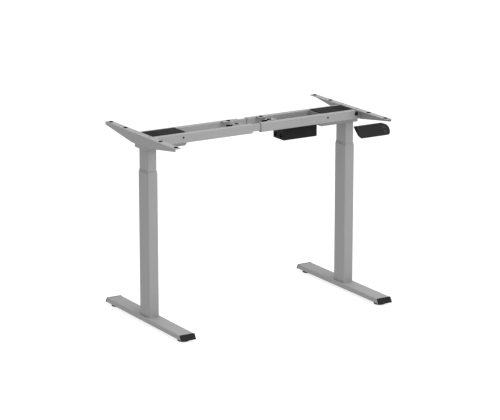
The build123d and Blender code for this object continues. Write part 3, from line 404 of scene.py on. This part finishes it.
# ------------------------------------------------------------------ workbench
class Workpiece:
    """A mesh under work, shaped with the mesh operators and finished at the origin."""

    def __init__(self, thing: bpy.types.Object) -> None:
        """Take over an object.

        Args:
            thing: The mesh object to shape.
        """
        self.thing = thing

    @staticmethod
    def clear_bench() -> None:
        """Leave edit mode, with nothing selected."""
        if bpy.context.object and bpy.context.object.mode != "OBJECT":
            bpy.ops.object.mode_set(mode="OBJECT")
        bpy.ops.object.select_all(action="DESELECT")

    @classmethod
    def box(cls, name: str, low: Point, high: Point) -> Workpiece:
        """Start from a block between two corners.

        Args:
            name: Name of the new object.
            low: One corner.
            high: The opposite corner.

        Returns:
            The new workpiece.
        """
        cls.clear_bench()
        middle = [(a + b) / 2 for a, b in zip(low, high)]
        size = [abs(b - a) for a, b in zip(low, high)]
        bpy.ops.mesh.primitive_cube_add(size=1, location=middle, scale=size)
        return cls._named(name)

    @classmethod
    def turned(cls, name: str, rings: Iterable[tuple[float, float]], place: Point,
               facing: Point = (0, 0, 1), sides: int = 32, bored: bool = False) -> Workpiece:
        """Turn a round piece from its rings, as on a lathe.

        Args:
            name: Name of the new object.
            rings: Radius and height of each ring, from the bottom up.
            place: Where height zero of the axis is.
            facing: Direction in which the height grows.
            sides: Faces round the piece.
            bored: True if the rings run round a hole and close on themselves.

        Returns:
            The new workpiece.
        """
        cls.clear_bench()
        rings = list(rings)
        radius, height = rings[0]
        bpy.ops.mesh.primitive_circle_add(vertices=sides, radius=radius, location=(0, 0, height),
                                          fill_type="NOTHING" if bored else "NGON")
        bpy.ops.object.transform_apply(location=True)
        bpy.ops.object.mode_set(mode="EDIT")
        bpy.ops.mesh.select_mode(type="VERT" if bored else "FACE")
        bpy.ops.mesh.select_all(action="SELECT")
        if bored:
            rings.append(rings[0])
        for next_radius, next_height in rings[1:]:
            move = {"value": (0, 0, next_height - height)}
            bpy.ops.mesh.extrude_region_move(TRANSFORM_OT_translate=move)
            share = next_radius / radius
            bpy.ops.transform.resize(value=(share, share, 1), center_override=(0, 0, next_height))
            radius, height = next_radius, next_height
        bpy.ops.mesh.select_all(action="SELECT")
        bpy.ops.mesh.remove_doubles(threshold=RING_MERGE)
        bpy.ops.mesh.normals_make_consistent(inside=False)
        bpy.ops.object.mode_set(mode="OBJECT")
        thing = bpy.context.object
        if Vector(facing).z < 1:
            thing.rotation_euler = Vector(facing).to_track_quat("Z", "Y").to_euler()
        thing.location = place
        return cls._named(name)

    @classmethod
    def copy_of(cls, name: str, node: str) -> Workpiece:
        """Start from a merged copy of a CAD node, with its flat faces whole again.

        Args:
            name: Name of the new object.
            node: The node's name.

        Returns:
            The new workpiece.
        """
        cls.clear_bench()
        source = bpy.data.objects[node]
        thing = bpy.data.objects.new(name, source.data.copy())
        bpy.context.scene.collection.objects.link(thing)
        piece = cls(thing)
        piece._edit()
        bpy.ops.mesh.select_all(action="SELECT")
        bpy.ops.mesh.remove_doubles(threshold=MERGE)
        bpy.ops.mesh.dissolve_limited(angle_limit=FLAT_ANGLE)
        bpy.ops.object.mode_set(mode="OBJECT")
        return piece

    @classmethod
    def _named(cls, name: str) -> Workpiece:
        """Name the active object and put its place into its mesh.

        Args:
            name: The name.

        Returns:
            The workpiece.
        """
        thing = bpy.context.object
        thing.name = thing.data.name = name
        bpy.ops.object.transform_apply(location=True, rotation=True, scale=True)
        return cls(thing)

    def _active(self) -> None:
        """Make this piece the only selected one, in object mode."""
        self.clear_bench()
        self.thing.select_set(True)
        bpy.context.view_layer.objects.active = self.thing

    def _edit(self, mode: str = "FACE") -> None:
        """Open the mesh with nothing in it selected.

        Args:
            mode: "VERT", "EDGE" or "FACE".
        """
        self._active()
        bpy.ops.object.mode_set(mode="EDIT")
        bpy.ops.mesh.select_mode(type=mode)
        bpy.ops.mesh.select_all(action="DESELECT")

    def pick_faces(self, test: Callable[[Vector, Vector], bool]) -> Workpiece:
        """Open the mesh with some faces selected.

        Args:
            test: Says from a face's centre and normal whether it is taken.

        Returns:
            This workpiece.
        """
        self._edit()
        bpy.ops.object.mode_set(mode="OBJECT")
        for face in self.thing.data.polygons:
            face.select = test(face.center, face.normal)
        bpy.ops.object.mode_set(mode="EDIT")
        return self

    def pick_edges(self, test: Callable[[Vector, Vector], bool]) -> Workpiece:
        """Open the mesh with some edges selected.

        Args:
            test: Says from an edge's middle and direction whether it is taken.

        Returns:
            This workpiece.
        """
        self._edit("EDGE")
        bpy.ops.object.mode_set(mode="OBJECT")
        mesh = self.thing.data
        for edge in mesh.edges:
            a, b = (mesh.vertices[i].co for i in edge.vertices)
            edge.select = test((a + b) / 2, (b - a).normalized())
        bpy.ops.object.mode_set(mode="EDIT")
        return self

    def inset(self, thickness: float, depth: float = 0.0, each: bool = False) -> Workpiece:
        """Inset the selected faces and push them in or out.

        Args:
            thickness: Width of the border left.
            depth: Height of the inset part, negative into the piece.
            each: True to treat every face by itself.

        Returns:
            This workpiece.
        """
        bpy.ops.mesh.inset(thickness=thickness, depth=depth, use_individual=each)
        return self

    def shift(self, by: Point) -> Workpiece:
        """Move what is selected.

        Args:
            by: How far along each axis.

        Returns:
            This workpiece.
        """
        bpy.ops.transform.translate(value=by)
        return self

    def round_picked(self, radius: float, segments: int = 3) -> Workpiece:
        """Round the selected edges.

        Args:
            radius: Radius of the rounding.
            segments: Steps across it.

        Returns:
            This workpiece.
        """
        bpy.ops.mesh.bevel(offset=radius, segments=segments, affect="EDGES")
        return self

    def soften(self, radius: float, segments: int = 2, angle: float = 32.0) -> Workpiece:
        """Round every sharp edge with an applied modifier.

        Args:
            radius: Radius of the rounding.
            segments: Steps across it.
            angle: Edges sharper than this many degrees are rounded.

        Returns:
            This workpiece.
        """
        self._active()
        bevel = self.thing.modifiers.new("soft_edges", "BEVEL")
        bevel.width, bevel.segments = radius, segments
        bevel.limit_method, bevel.angle_limit = "ANGLE", math.radians(angle)
        bevel.miter_outer = "MITER_ARC"
        bpy.ops.object.modifier_apply(modifier=bevel.name)
        return self

    def cut(self, tool: Workpiece) -> Workpiece:
        """Cut another workpiece out of this one, and use it up.

        Args:
            tool: The shape to take away.

        Returns:
            This workpiece.
        """
        self._active()
        cutter = self.thing.modifiers.new("cut", "BOOLEAN")
        cutter.operation, cutter.solver, cutter.object = "DIFFERENCE", "EXACT", tool.thing
        bpy.ops.object.modifier_apply(modifier=cutter.name)
        bpy.data.objects.remove(tool.thing, do_unlink=True)
        return self

    def copy(self, name: str, by: Point) -> Workpiece:
        """Copy this piece, with its own mesh, to another place.

        Args:
            name: Name of the copy.
            by: How far from this piece.

        Returns:
            The copy.
        """
        self.clear_bench()
        thing = bpy.data.objects.new(name, self.thing.data.copy())
        bpy.context.scene.collection.objects.link(thing)
        thing.data.transform(Matrix.Translation(by))
        return Workpiece(thing)

    def join(self, others: Iterable[Workpiece]) -> Workpiece:
        """Join other workpieces into this one.

        Args:
            others: Pieces that are used up.

        Returns:
            This workpiece.
        """
        self._active()
        for other in others:
            other.thing.select_set(True)
        bpy.ops.object.join()
        return self

    def fit(self, finish: Finish, body: str, replaces: Iterable[str] = ()) -> Workpiece:
        """Finish the piece and fix it to its body.

        Args:
            finish: What its surface is.
            body: CAD body that carries it.
            replaces: CAD nodes that it stands for.

        Returns:
            This workpiece.
        """
        self._active()
        bpy.ops.object.shade_smooth_by_angle(angle=SMOOTH_ANGLE)
        weights = self.thing.modifiers.new("even_normals", "WEIGHTED_NORMAL")
        weights.keep_sharp, weights.weight = True, 100
        bpy.ops.object.modifier_apply(modifier=weights.name)
        finish.dress(self.thing)
        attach(self.thing, body)
        if replaces:
            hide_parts(*replaces)
        LOG.info("%s on %s, %s, %d faces", self.thing.name, body, finish.name, len(self.thing.data.polygons))
        self.clear_bench()
        return self


def joined(name: str, pieces: list[Workpiece]) -> Workpiece:
    """Join pieces into one.

    Args:
        name: Name of the joined object.
        pieces: At least one workpiece.

    Returns:
        The first one, with the rest joined to it.
    """
    piece = pieces[0].join(pieces[1:]) if len(pieces) > 1 else pieces[0]
    piece.thing.name = name
    return piece


def in_metres(profile: Profile) -> list[tuple[float, float]]:
    """Rings of a profile that is written in millimetres."""
    return [(radius * MM, height * MM) for radius, height in profile]


@dataclass(frozen=True)
class ButtonScrew:
    """Domed screw with a hexagon recess."""

    head: float = 4.25 * MM
    height: float = 2.2 * MM
    shank: float = 2.45 * MM
    length: float = 4.4 * MM
    key: float = 1.6 * MM       # half the width of the recess
    step: float = 0.4 * MM      # from crest to root of the thread
    root: float = 0.9           # radius of the root against the crest's
    # Rings of the dome, and floor and top of the recess, against the head's radius and height.
    dome: Profile = ((0.96, 0.0), (0.985, 0.08), (1.0, 0.24), (0.9, 0.62), (0.7, 0.9), (0.5, 1.0))
    recess: tuple[float, float] = (0.3, 1.2)

    def build(self, name: str, seat: Point, facing: Point) -> Workpiece:
        """Make the screw.

        Args:
            name: Name of the new object.
            seat: Middle of the underside of the head.
            facing: Direction out of the head.

        Returns:
            The screw.
        """
        thread = [(self.shank * (1.0 if turn % 2 else self.root), -self.length + self.step * turn)
                  for turn in range(int(self.length / self.step))]
        dome = [(self.head * radius, self.height * level) for radius, level in self.dome]
        screw = Workpiece.turned(name, [*thread, (self.shank, 0.0), *dome], seat, facing, 24)
        corner = self.key / math.cos(math.pi / 6)
        recess = [(corner, self.height * level) for level in self.recess]
        return screw.cut(Workpiece.turned(name + "_key", recess, seat, facing, 6))


# ------------------------------------------------------------------ feet
@dataclass
class Foot:
    """Foot of one column: end caps and levelling glides."""

    side: str
    lean: float = 13 * MM
    plate: float = 4 * MM
    corner: float = 3 * MM
    panel_border: float = 2.2 * MM
    panel_depth: float = 0.5 * MM
    plug_wall: float = 3.2 * MM
    plug_depth: float = 15 * MM
    grip_angle: float = 7.5         # degrees from one edge of a grip to the next
    grip_border: float = 0.35 * MM
    grip_depth: float = 0.5 * MM
    pitch: float = 1.25 * MM
    crest: float = 4.0 * MM
    root: float = 3.55 * MM
    stem_start: float = 8.6 * MM
    rim: Profile = ((5, 0.9), (4, 0), (1.4, 0), (0.3, 1.0), (0, 2.0), (0, 5.2), (0.5, 6.4), (2.0, 7.6),
                    (3.6, 8.0))     # distances in from the edge, and heights
    shoulder: Profile = ((8.0, 8.0), (7.4, 8.3), (3.55, 8.3))

    def build(self) -> None:
        """Make the caps and the glides."""
        self._caps()
        for end in ("front", "rear"):
            self._glide(end)

    def _caps(self) -> None:
        """Slanting end plates with a shallow panel, and their plugs."""
        low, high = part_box(f"{self.side}_foot_caps")
        caps = []
        for sign, toe in ((-1, low[1]), (1, high[1])):
            plate = self._slanted("plate", sign, toe, self.plate)
            plate.pick_edges(lambda at, along: abs(along.y) > 0.9).round_picked(self.corner, 5)
            plate.pick_faces(lambda at, normal: normal.y * sign > 0.9)
            plate.inset(self.panel_border, -self.panel_depth)
            plug = self._slanted("plug", sign, toe - sign * self.plate, self.plug_depth, self.plug_wall)
            caps += [plate.soften(0.6 * MM, 2, 25), plug.soften(1 * MM)]
        piece = joined(f"{self.side}_end_caps", caps)
        piece.fit(BLACK_PLASTIC, f"{self.side}_base", [f"{self.side}_foot_caps"])

    def _slanted(self, name: str, sign: int, toe: float, depth: float, wall: float = 0.0) -> Workpiece:
        """Block across the foot, leaning as the tube's end does.

        Args:
            name: Name of the new object.
            sign: -1 for the front end and 1 for the rear end.
            toe: Y of its outer face at the level of the tube's bottom.
            depth: How far it runs into the foot.
            wall: How far it stays inside the tube's outline.

        Returns:
            The block.
        """
        low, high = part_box(f"{self.side}_foot_caps")
        slope = self.lean / (high[2] - low[2])
        face = toe - sign * slope * wall
        block = Workpiece.box(name, (low[0] + wall, face, low[2] + wall),
                              (high[0] - wall, face - sign * depth, high[2] - wall))
        block.pick_faces(lambda at, normal: normal.z > 0.9)
        return block.shift((0, -sign * slope * (high[2] - low[2] - 2 * wall), 0))

    def _glide(self, end: str) -> None:
        """Rubber glide with a gripped rim, a collar and a threaded stem.

        Args:
            end: "front" or "rear".
        """
        node = f"{self.side}_{end}_glide"
        low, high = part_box(node)
        radius = (high[0] - low[0]) / 2
        place = ((low[0] + high[0]) / 2, (low[1] + high[1]) / 2, low[2])
        rim = [(radius - inset * MM, height * MM) for inset, height in self.rim]
        turns = int((high[2] - low[2] - self.stem_start) / self.pitch * 2)
        stem = [(self.crest if turn % 2 else self.root, self.stem_start + turn * self.pitch / 2)
                for turn in range(turns)]
        glide = Workpiece.turned(f"{node}_pad", [*rim, *in_metres(self.shoulder), *stem], place, sides=48)
        centre = Vector(place)
        glide.pick_faces(lambda at, normal: abs(normal.z) < 0.1 and (at - centre).xy.length > radius - 1 * MM
                         and int(math.degrees(math.atan2(at.y - centre.y, at.x - centre.x))
                                 // self.grip_angle) % 2 == 0)
        glide.inset(self.grip_border, -self.grip_depth, each=True)
        glide.fit(GLIDE_RUBBER, f"{self.side}_{end}_foot", [node])


# ------------------------------------------------------------------ columns
@dataclass
class Column:
    """Lifting column of one side: what shows on it beyond its tubes."""

    side: str
    screw_radius: float = 2.6 * MM
    screw_drop: float = 5 * MM
    screw_sink: float = 1.6 * MM
    key_radius: float = 1.5 * MM
    key_depth: float = 1.4 * MM

    def build(self) -> None:
        """Make the collar and its set screw."""
        collar = Workpiece.copy_of(f"{self.side}_guide_collar", f"{self.side}_collar")
        collar.soften(0.12 * MM, 2, 35)
        collar.fit(COLLAR_PLASTIC, f"{self.side}_base", [f"{self.side}_collar"])
        self._set_screw()

    def _set_screw(self) -> None:
        """Headless screw in the collar's inner face, which takes up the play of the guide."""
        low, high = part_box(f"{self.side}_collar")
        inward = 1 if self.side == LEFT else -1
        face = (high[0] if inward > 0 else low[0]) - inward * self.screw_sink
        middle = (low[1] + high[1]) / 2
        radius = self.screw_radius
        place = (face, middle, high[2] - self.screw_drop)
        rings = [(radius * 0.9, -2.2 * MM), (radius, -1.8 * MM), (radius, 0.0), (radius * 0.85, 0.1 * MM)]
        screw = Workpiece.turned(f"{self.side}_guide_set_screw", rings, place, (inward, 0, 0), 24)
        recess = [(self.key_radius, -self.key_depth), (self.key_radius, 0.5 * MM)]
        key = Workpiece.turned("key", recess, place, (inward, 0, 0), 6)
        screw.cut(key).fit(BLACK_STEEL, f"{self.side}_base")


# ------------------------------------------------------------------ heads
@dataclass
class Head:
    """Top of one column: drive cover, grommets, screws, plugs and welds."""

    side: str
    cover_corner: float = 2.5 * MM
    cover_rim: float = 1.5 * MM
    cover_slope: float = 0.3 * MM
    cover_sink: float = 0.9 * MM
    cover_ribs: int = 5
    rib_pitch: float = 9 * MM
    rib_start: float = 6.5 * MM
    rib_stop: float = 12 * MM
    rib_margin: float = 5 * MM
    rib_depth: float = 1.4 * MM
    divider_gap: float = 8 * MM
    divider: float = 1.6 * MM
    divider_margin: float = 2 * MM
    bracket_x: float = 518 * MM
    bracket_pads: tuple[float, ...] = (-277, -149.5, 149.5, 277)  # mm from the middle
    tab_x: float = 82 * MM
    tab_pads: tuple[float, ...] = (-34, 34)  # mm from the middle
    pad_hole: float = 2.75 * MM
    pad_height: float = 5 * MM
    pad: Profile = ((5.0, 0.0), (5.0, 3.0), (9.5, 3.0), (9.5, 3.8), (9.0, 4.5), (8.0, 4.95), (6.0, 5.0),
                    (5.2, 4.6))
    strip_ends: tuple[float, float] = (-103 * MM, 75 * MM)   # right end, on the left and the right head
    strip_length: float = 34 * MM
    strip_width: float = 8 * MM
    screw: ButtonScrew = ButtonScrew()
    screw_y: float = 57 * MM
    lock_x: float = 361 * MM
    lock_z: float = 805 * MM
    plug_lip: float = 1.2 * MM
    plug: Profile = ((7.4, -6), (7.8, -5), (7.8, 0), (8.9, 0), (9.0, 0.5), (8.6, 1.1), (7.4, 1.2), (6.6, 0.8),
                     (6.2, 0.3), (3.0, 0.3), (2.6, 0.6), (1.0, 0.65))
    tab_face: float = 46 * MM
    tab_edges: tuple[float, ...] = (64, 110)  # mm from the middle
    tab_weld: float = 18 * MM
    tab_weld_z: float = 799 * MM
    tab_weld_sink: float = 0.3 * MM
    floor_weld_x: float = 72 * MM
    floor_weld_z: float = 797.9 * MM
    floor_weld_sink: float = 0.4 * MM
    long_weld: float = 28 * MM
    bracket_welds: tuple[float, ...] = (-43, -14, 15)  # mm from the middle
    bead: float = 1.7 * MM
    ripple: float = 1.1 * MM
    trough: float = 0.84            # radius between two ripples against the bead's
    bead_end: float = 0.3 * MM

    @property
    def body(self) -> str:
        """CAD body that carries the head."""
        return f"{self.side}_head"

    @property
    def sign(self) -> int:
        """Direction of this side along X."""
        return -1 if self.side == LEFT else 1

    def build(self) -> None:
        """Make every piece of the head."""
        self._cover()
        self._grommets()
        self._screws()
        self._plugs()
        self._welds()

    def _cover(self) -> None:
        """Lid of the drive housing: a rim round a sunk panel, and ribs at its outer end."""
        node = f"{self.side}_housing_cover"
        low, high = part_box(node)
        outer = high[0] if self.sign > 0 else low[0]
        lid = Workpiece.box("lid", low, high)
        lid.pick_edges(lambda at, along: abs(along.z) > 0.9).round_picked(self.cover_corner, 4)
        lid.pick_faces(lambda at, normal: normal.z > 0.9)
        lid.inset(self.cover_rim).inset(self.cover_slope, -self.cover_sink)
        parts = [lid.soften(0.12 * MM, 2, 40)]
        foot = high[2] - self.rib_depth
        rib = Workpiece.box("rib", (outer - self.sign * self.rib_stop, low[1] + self.rib_margin, foot),
                            (outer - self.sign * self.rib_start, high[1] - self.rib_margin, high[2]))
        rib.pick_edges(lambda at, along: abs(along.y) > 0.9 and at.z > high[2] - 0.2 * MM)
        rib.round_picked(0.6 * MM, 2)
        for index in range(1, self.cover_ribs):
            parts.append(rib.copy("rib", (-self.sign * index * self.rib_pitch, 0, 0)))
        parts.append(rib)
        start = outer - self.sign * (self.cover_ribs * self.rib_pitch + self.divider_gap)
        bar = Workpiece.box("divider", (start, low[1] + self.divider_margin, foot),
                            (start - self.sign * self.divider, high[1] - self.divider_margin, high[2]))
        parts.append(bar.soften(0.3 * MM))
        joined(f"{self.side}_drive_cover", parts).fit(COVER_PLASTIC, self.body, [node])

    def _grommets(self) -> None:
        """Rubber grommets of the bracket and tabs, and a dark strip beside the front tab."""
        node = f"{self.side}_desktop_pads"
        low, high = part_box(node)
        bracket_low, bracket_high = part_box(f"{self.side}_bracket")
        middle = (bracket_low[1] + bracket_high[1]) / 2
        bottom = high[2] - self.pad_height
        hole = self.pad_hole
        rings = [(hole, 0.0), *in_metres(self.pad), (hole + 0.5 * MM, 3.6 * MM), (hole, 3.0 * MM)]
        places = [(self.sign * self.bracket_x, middle + y * MM) for y in self.bracket_pads]
        places += [(self.sign * self.tab_x, middle + y * MM) for y in self.tab_pads]
        first = Workpiece.turned(f"{self.side}_grommets", rings, (*places[0], bottom), sides=40, bored=True)
        copies = [first.copy("grommet", (x - places[0][0], y - places[0][1], 0)) for x, y in places[1:]]
        # Dark strip on the rail beside the front tab.
        right_end = self.strip_ends[SIDES.index(self.side)]
        y = middle - self.tab_face
        strip = Workpiece.box("strip", (right_end - self.strip_length, y + 0.05 * MM, low[2]),
                              (right_end, y + self.strip_width, high[2]))
        strip.soften(1.2 * MM, 3)
        first.join([*copies, strip])
        first.fit(PAD_RUBBER, self.body, [node])

    def _screws(self) -> None:
        """Button-head screws of the bracket and the two that lock the centre rails."""
        node = f"{self.side}_button_screws"
        low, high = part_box(node)
        middle = (low[1] + high[1]) / 2
        head = self.screw.height
        seat = (self.sign * self.bracket_x, middle - self.screw_y, high[2] - head)
        upright = self.screw.build(f"{self.side}_bracket_screws", seat, (0, 0, 1))
        second = upright.copy("screw", (0, 2 * self.screw_y, 0))
        upright.join([second]).fit(SCREW_PAINT, self.body, [node])
        locks = [self.screw.build("screw", (self.sign * self.lock_x, y, self.lock_z), (0, facing, 0))
                 for y, facing in ((low[1] + head, -1), (high[1] - head, 1))]
        joined(f"{self.side}_lock_screws", locks).fit(BLACK_STEEL, self.body, [node])

    def _plugs(self) -> None:
        """Blanking plugs in the outer faces of the rails."""
        node = f"{self.side}_rail_plugs"
        low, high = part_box(node)
        x, z = (low[0] + high[0]) / 2, (low[2] + high[2]) / 2
        rings = in_metres(self.plug)
        plugs = [Workpiece.turned("plug", rings, (x, low[1] + self.plug_lip, z), (0, -1, 0), 40),
                 Workpiece.turned("plug", rings, (x, high[1] - self.plug_lip, z), (0, 1, 0), 40)]
        joined(f"{self.side}_blanking_plugs", plugs).fit(BLACK_PLASTIC, self.body, [node])

    def _welds(self) -> None:
        """Rippled beads where the tabs and the drive housing are welded on."""
        low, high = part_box(f"{self.side}_motor_housing")
        middle = (low[1] + high[1]) / 2
        beads = []
        for into in (1, -1):
            face = middle - into * self.tab_face
            for x in self.tab_edges:
                at = (self.sign * x * MM, face + into * self.tab_weld_sink, self.tab_weld_z)
                beads.append(self._bead(at, (0, 0, 1), self.tab_weld))
            at = (self.sign * self.floor_weld_x, face + into * self.floor_weld_sink, self.floor_weld_z)
            beads.append(self._bead(at, (self.sign, 0, 0), self.long_weld))
        web = high[0] if self.sign > 0 else low[0]
        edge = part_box(f"{self.side}_bracket")[0][2]
        for y in self.bracket_welds:
            beads.append(self._bead((web, middle + y * MM, edge), (0, 1, 0), self.long_weld))
        joined(f"{self.side}_weld_beads", beads).fit(FRAME_PAINT, self.body)

    def _bead(self, start: Point, along: Point, length: float) -> Workpiece:
        """One weld bead, half sunk in the steel.

        Args:
            start: Its first end.
            along: Its direction.
            length: Its length.

        Returns:
            The bead.
        """
        steps = max(6, int(length / self.ripple))
        rings = [(self.bead_end, 0.0)]
        for step in range(1, steps):
            swell = 1.0 if step % 2 else self.trough
            taper = min(1.0, 0.5 + 0.5 * min(step, steps - step) / 3)
            rings.append((self.bead * swell * taper, length * step / steps))
        rings.append((self.bead_end, length))
        return Workpiece.turned("bead", rings, start, along, 10)


# ------------------------------------------------------------------ control box
@dataclass
class ControlBox:
    """Control box under the right rails."""

    body: str = "right_head"
    socket_y: float = 21 * MM
    socket_z: float = 741 * MM
    pin_sink: float = 2.5 * MM
    pin_pitch: float = 3 * MM
    pin_row: float = 2 * MM
    pin_length: float = 7 * MM
    pin_width: float = 0.7 * MM
    ribs: int = 9
    rib_pitch: float = 6 * MM
    rib_half: float = 1.1 * MM
    rib_proud: float = 0.7 * MM
    rib_start: float = 12 * MM
    rib_stop: float = 30 * MM

    def build(self) -> None:
        """Make the case, its lid, its contacts and its ribs."""
        case = Workpiece.copy_of("control_shell", "control_case")
        case.soften(0.6 * MM, 2, 40)
        case.fit(CONTROL_PLASTIC, self.body, ["control_case"])
        lid = Workpiece.copy_of("control_plate", "control_lid")
        lid.soften(0.4 * MM, 2, 40)
        lid.fit(CONTROL_PAINT, self.body, ["control_lid"])
        self._contacts()
        self._ribs()

    def _contacts(self) -> None:
        """Rows of contact pins in the two motor sockets and the handset socket."""
        low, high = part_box("control_case")
        middle = (low[1] + high[1]) / 2
        pins = []
        side = self.socket_y
        for y, face, inward in ((-side, low[0], 1), (side, low[0], 1), (-side, high[0], -1)):
            for column in (-1.5, -0.5, 0.5, 1.5):
                for row in (-self.pin_row, self.pin_row):
                    at = (face + inward * self.pin_sink, middle + y + column * self.pin_pitch,
                          self.socket_z + row)
                    end = (at[0] + inward * self.pin_length, at[1] + self.pin_width, at[2] + self.pin_width)
                    pins.append(Workpiece.box("pin", at, end).soften(0.15 * MM, 1))
        joined("socket_contacts", pins).fit(CONTACT, self.body)

    def _ribs(self) -> None:
        """Cooling ribs moulded on the long sides of the case."""
        low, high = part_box("control_case")
        ribs = []
        for y, outward in ((low[1], -1), (high[1], 1)):
            for index in range(self.ribs):
                x = (low[0] + high[0]) / 2 + (index - (self.ribs - 1) / 2) * self.rib_pitch
                rib = Workpiece.box("rib", (x - self.rib_half, y - outward * 1 * MM, low[2] + self.rib_start),
                                    (x + self.rib_half, y + outward * self.rib_proud, low[2] + self.rib_stop))
                ribs.append(rib.soften(0.5 * MM, 2))
        joined("control_ribs", ribs).fit(CONTROL_PLASTIC, self.body)


# ------------------------------------------------------------------ handset
@dataclass
class Handset:
    """Handset under the front edge of the desktop's place."""

    body: str = "right_head"
    mark: float = 3.0 * MM
    mark_height: float = 0.25 * MM
    mark_sink: float = 0.2 * MM

    def build(self) -> None:
        """Make the case, the face panel and the two keys."""
        case = Workpiece.copy_of("handset_shell", "handset_case")
        case.soften(0.7 * MM, 3, 40)
        case.fit(HANDSET_PLASTIC, self.body, ["handset_case"])
        face = Workpiece.copy_of("handset_panel", "handset_face")
        face.soften(0.25 * MM, 2, 40)
        face.fit(HANDSET_PANEL, self.body, ["handset_face"])
        for name, turn in (("down", -1), ("up", 1)):
            self._key(name, turn)

    def _key(self, name: str, turn: int) -> None:
        """One key with a raised triangle that points its way.

        Args:
            name: "down" or "up".
            turn: -1 if the triangle points down the face and 1 if up it.
        """
        key = Workpiece.copy_of(f"{name}_button_cap", f"{name}_key").soften(0.3 * MM, 2, 40)
        key.fit(KEY_PLASTIC, f"{name}_button", [f"{name}_key"])
        faces = sorted(key.thing.data.polygons, key=lambda face: face.area, reverse=True)
        top = next(face for face in faces if face.normal.y < -0.3)
        slope = Vector((0, -top.normal.z, top.normal.y)) * -turn
        rings = [(self.mark, -self.mark_sink), (self.mark, self.mark_height * 0.6),
                 (self.mark * 0.85, self.mark_height)]
        mark = Workpiece.turned(f"{name}_mark", rings, (0, 0, 0), sides=3)
        aim = Matrix((slope.cross(top.normal), slope, top.normal)).transposed().to_4x4()
        mark.thing.data.transform(Matrix.Translation(top.center) @ aim)
        mark.fit(MARK_PRINT, f"{name}_button")


# ------------------------------------------------------------------ studio
@dataclass
class Studio:
    """Pale floor, soft lights and the camera."""

    floor_size: float = 60.0
    target: Point = (0.0065, 0.031, 0.4252)
    azimuth: float = math.degrees(0.552164)
    elevation: float = math.degrees(0.260583)
    distance: float = 10.243
    lens: float = 170.76
    sensor: float = 36.0
    floor_level: float = -0.5 * MM
    floor_tone: float = 0.25
    floor_glow: float = 0.8
    lit: Point = (0, 0, 0.5)

    def build(self) -> None:
        """Add the floor, the world, the lights and the camera."""
        self._floor()
        self._world()
        self._lights()
        self._camera()

    def _floor(self) -> None:
        """Plain floor just under the glides, which glows so that it stays pale."""
        bpy.ops.mesh.primitive_plane_add(size=self.floor_size, location=(0, 0, self.floor_level))
        floor = bpy.context.object
        floor.name = "studio_floor"
        material = bpy.data.materials.new("studio_floor")
        material.use_nodes = True
        shader = material.node_tree.nodes["Principled BSDF"]
        shader.inputs["Base Color"].default_value = (*[self.floor_tone] * 3, 1)
        shader.inputs["Roughness"].default_value = 0.9
        shader.inputs["Specular IOR Level"].default_value = 0.0
        shader.inputs["Emission Color"].default_value = (1, 1, 1, 1)
        shader.inputs["Emission Strength"].default_value = self.floor_glow
        floor.data.materials.append(material)

    def _world(self) -> None:
        """Even white surroundings."""
        world = bpy.data.worlds.new("studio")
        world.use_nodes = True
        world.node_tree.nodes["Background"].inputs["Color"].default_value = (1, 1, 1, 1)
        world.node_tree.nodes["Background"].inputs["Strength"].default_value = 1.0
        bpy.context.scene.world = world

    def _lights(self) -> None:
        """Two large soft lights: one above the desk and a weaker one in front."""
        for name, place, size, power in (
            ("overhead", (0.5, -2.2, 4.9), 4.0, 250),
            ("front", (2.4, -5.6, 1.6), 3.0, 70),
        ):
            lamp = bpy.data.lights.new(name, "AREA")
            lamp.size, lamp.energy = size, power
            light = bpy.data.objects.new(name, lamp)
            light.location = place
            light.rotation_euler = (Vector(self.lit) - Vector(place)).to_track_quat("-Z", "Y").to_euler()
            bpy.context.scene.collection.objects.link(light)

    def _camera(self) -> None:
        """Camera at three-quarter view from the front left."""
        yaw, pitch = math.radians(self.azimuth), math.radians(self.elevation)
        forward = Vector((math.sin(yaw) * math.cos(pitch), math.cos(yaw) * math.cos(pitch), -math.sin(pitch)))
        data = bpy.data.cameras.new("camera")
        data.lens, data.sensor_width = self.lens, self.sensor
        data.clip_start, data.clip_end = 0.1, 100.0
        camera = bpy.data.objects.new("camera", data)
        camera.location = Vector(self.target) - forward * self.distance
        camera.rotation_euler = forward.to_track_quat("-Z", "Y").to_euler()
        bpy.context.scene.collection.objects.link(camera)
        bpy.context.scene.camera = camera


def main() -> None:
    """Load the frame, dress it and build every added piece."""
    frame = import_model()
    Studio().build()
    for name, node in frame["nodes"].items():
        finish_of(name).dress(node)
    for side in SIDES:
        Foot(side).build()
        Column(side).build()
        Head(side).build()
    ControlBox().build()
    Handset().build()
    bpy.context.scene.view_settings.view_transform = "Standard"


if __name__ == "__main__":
    main()
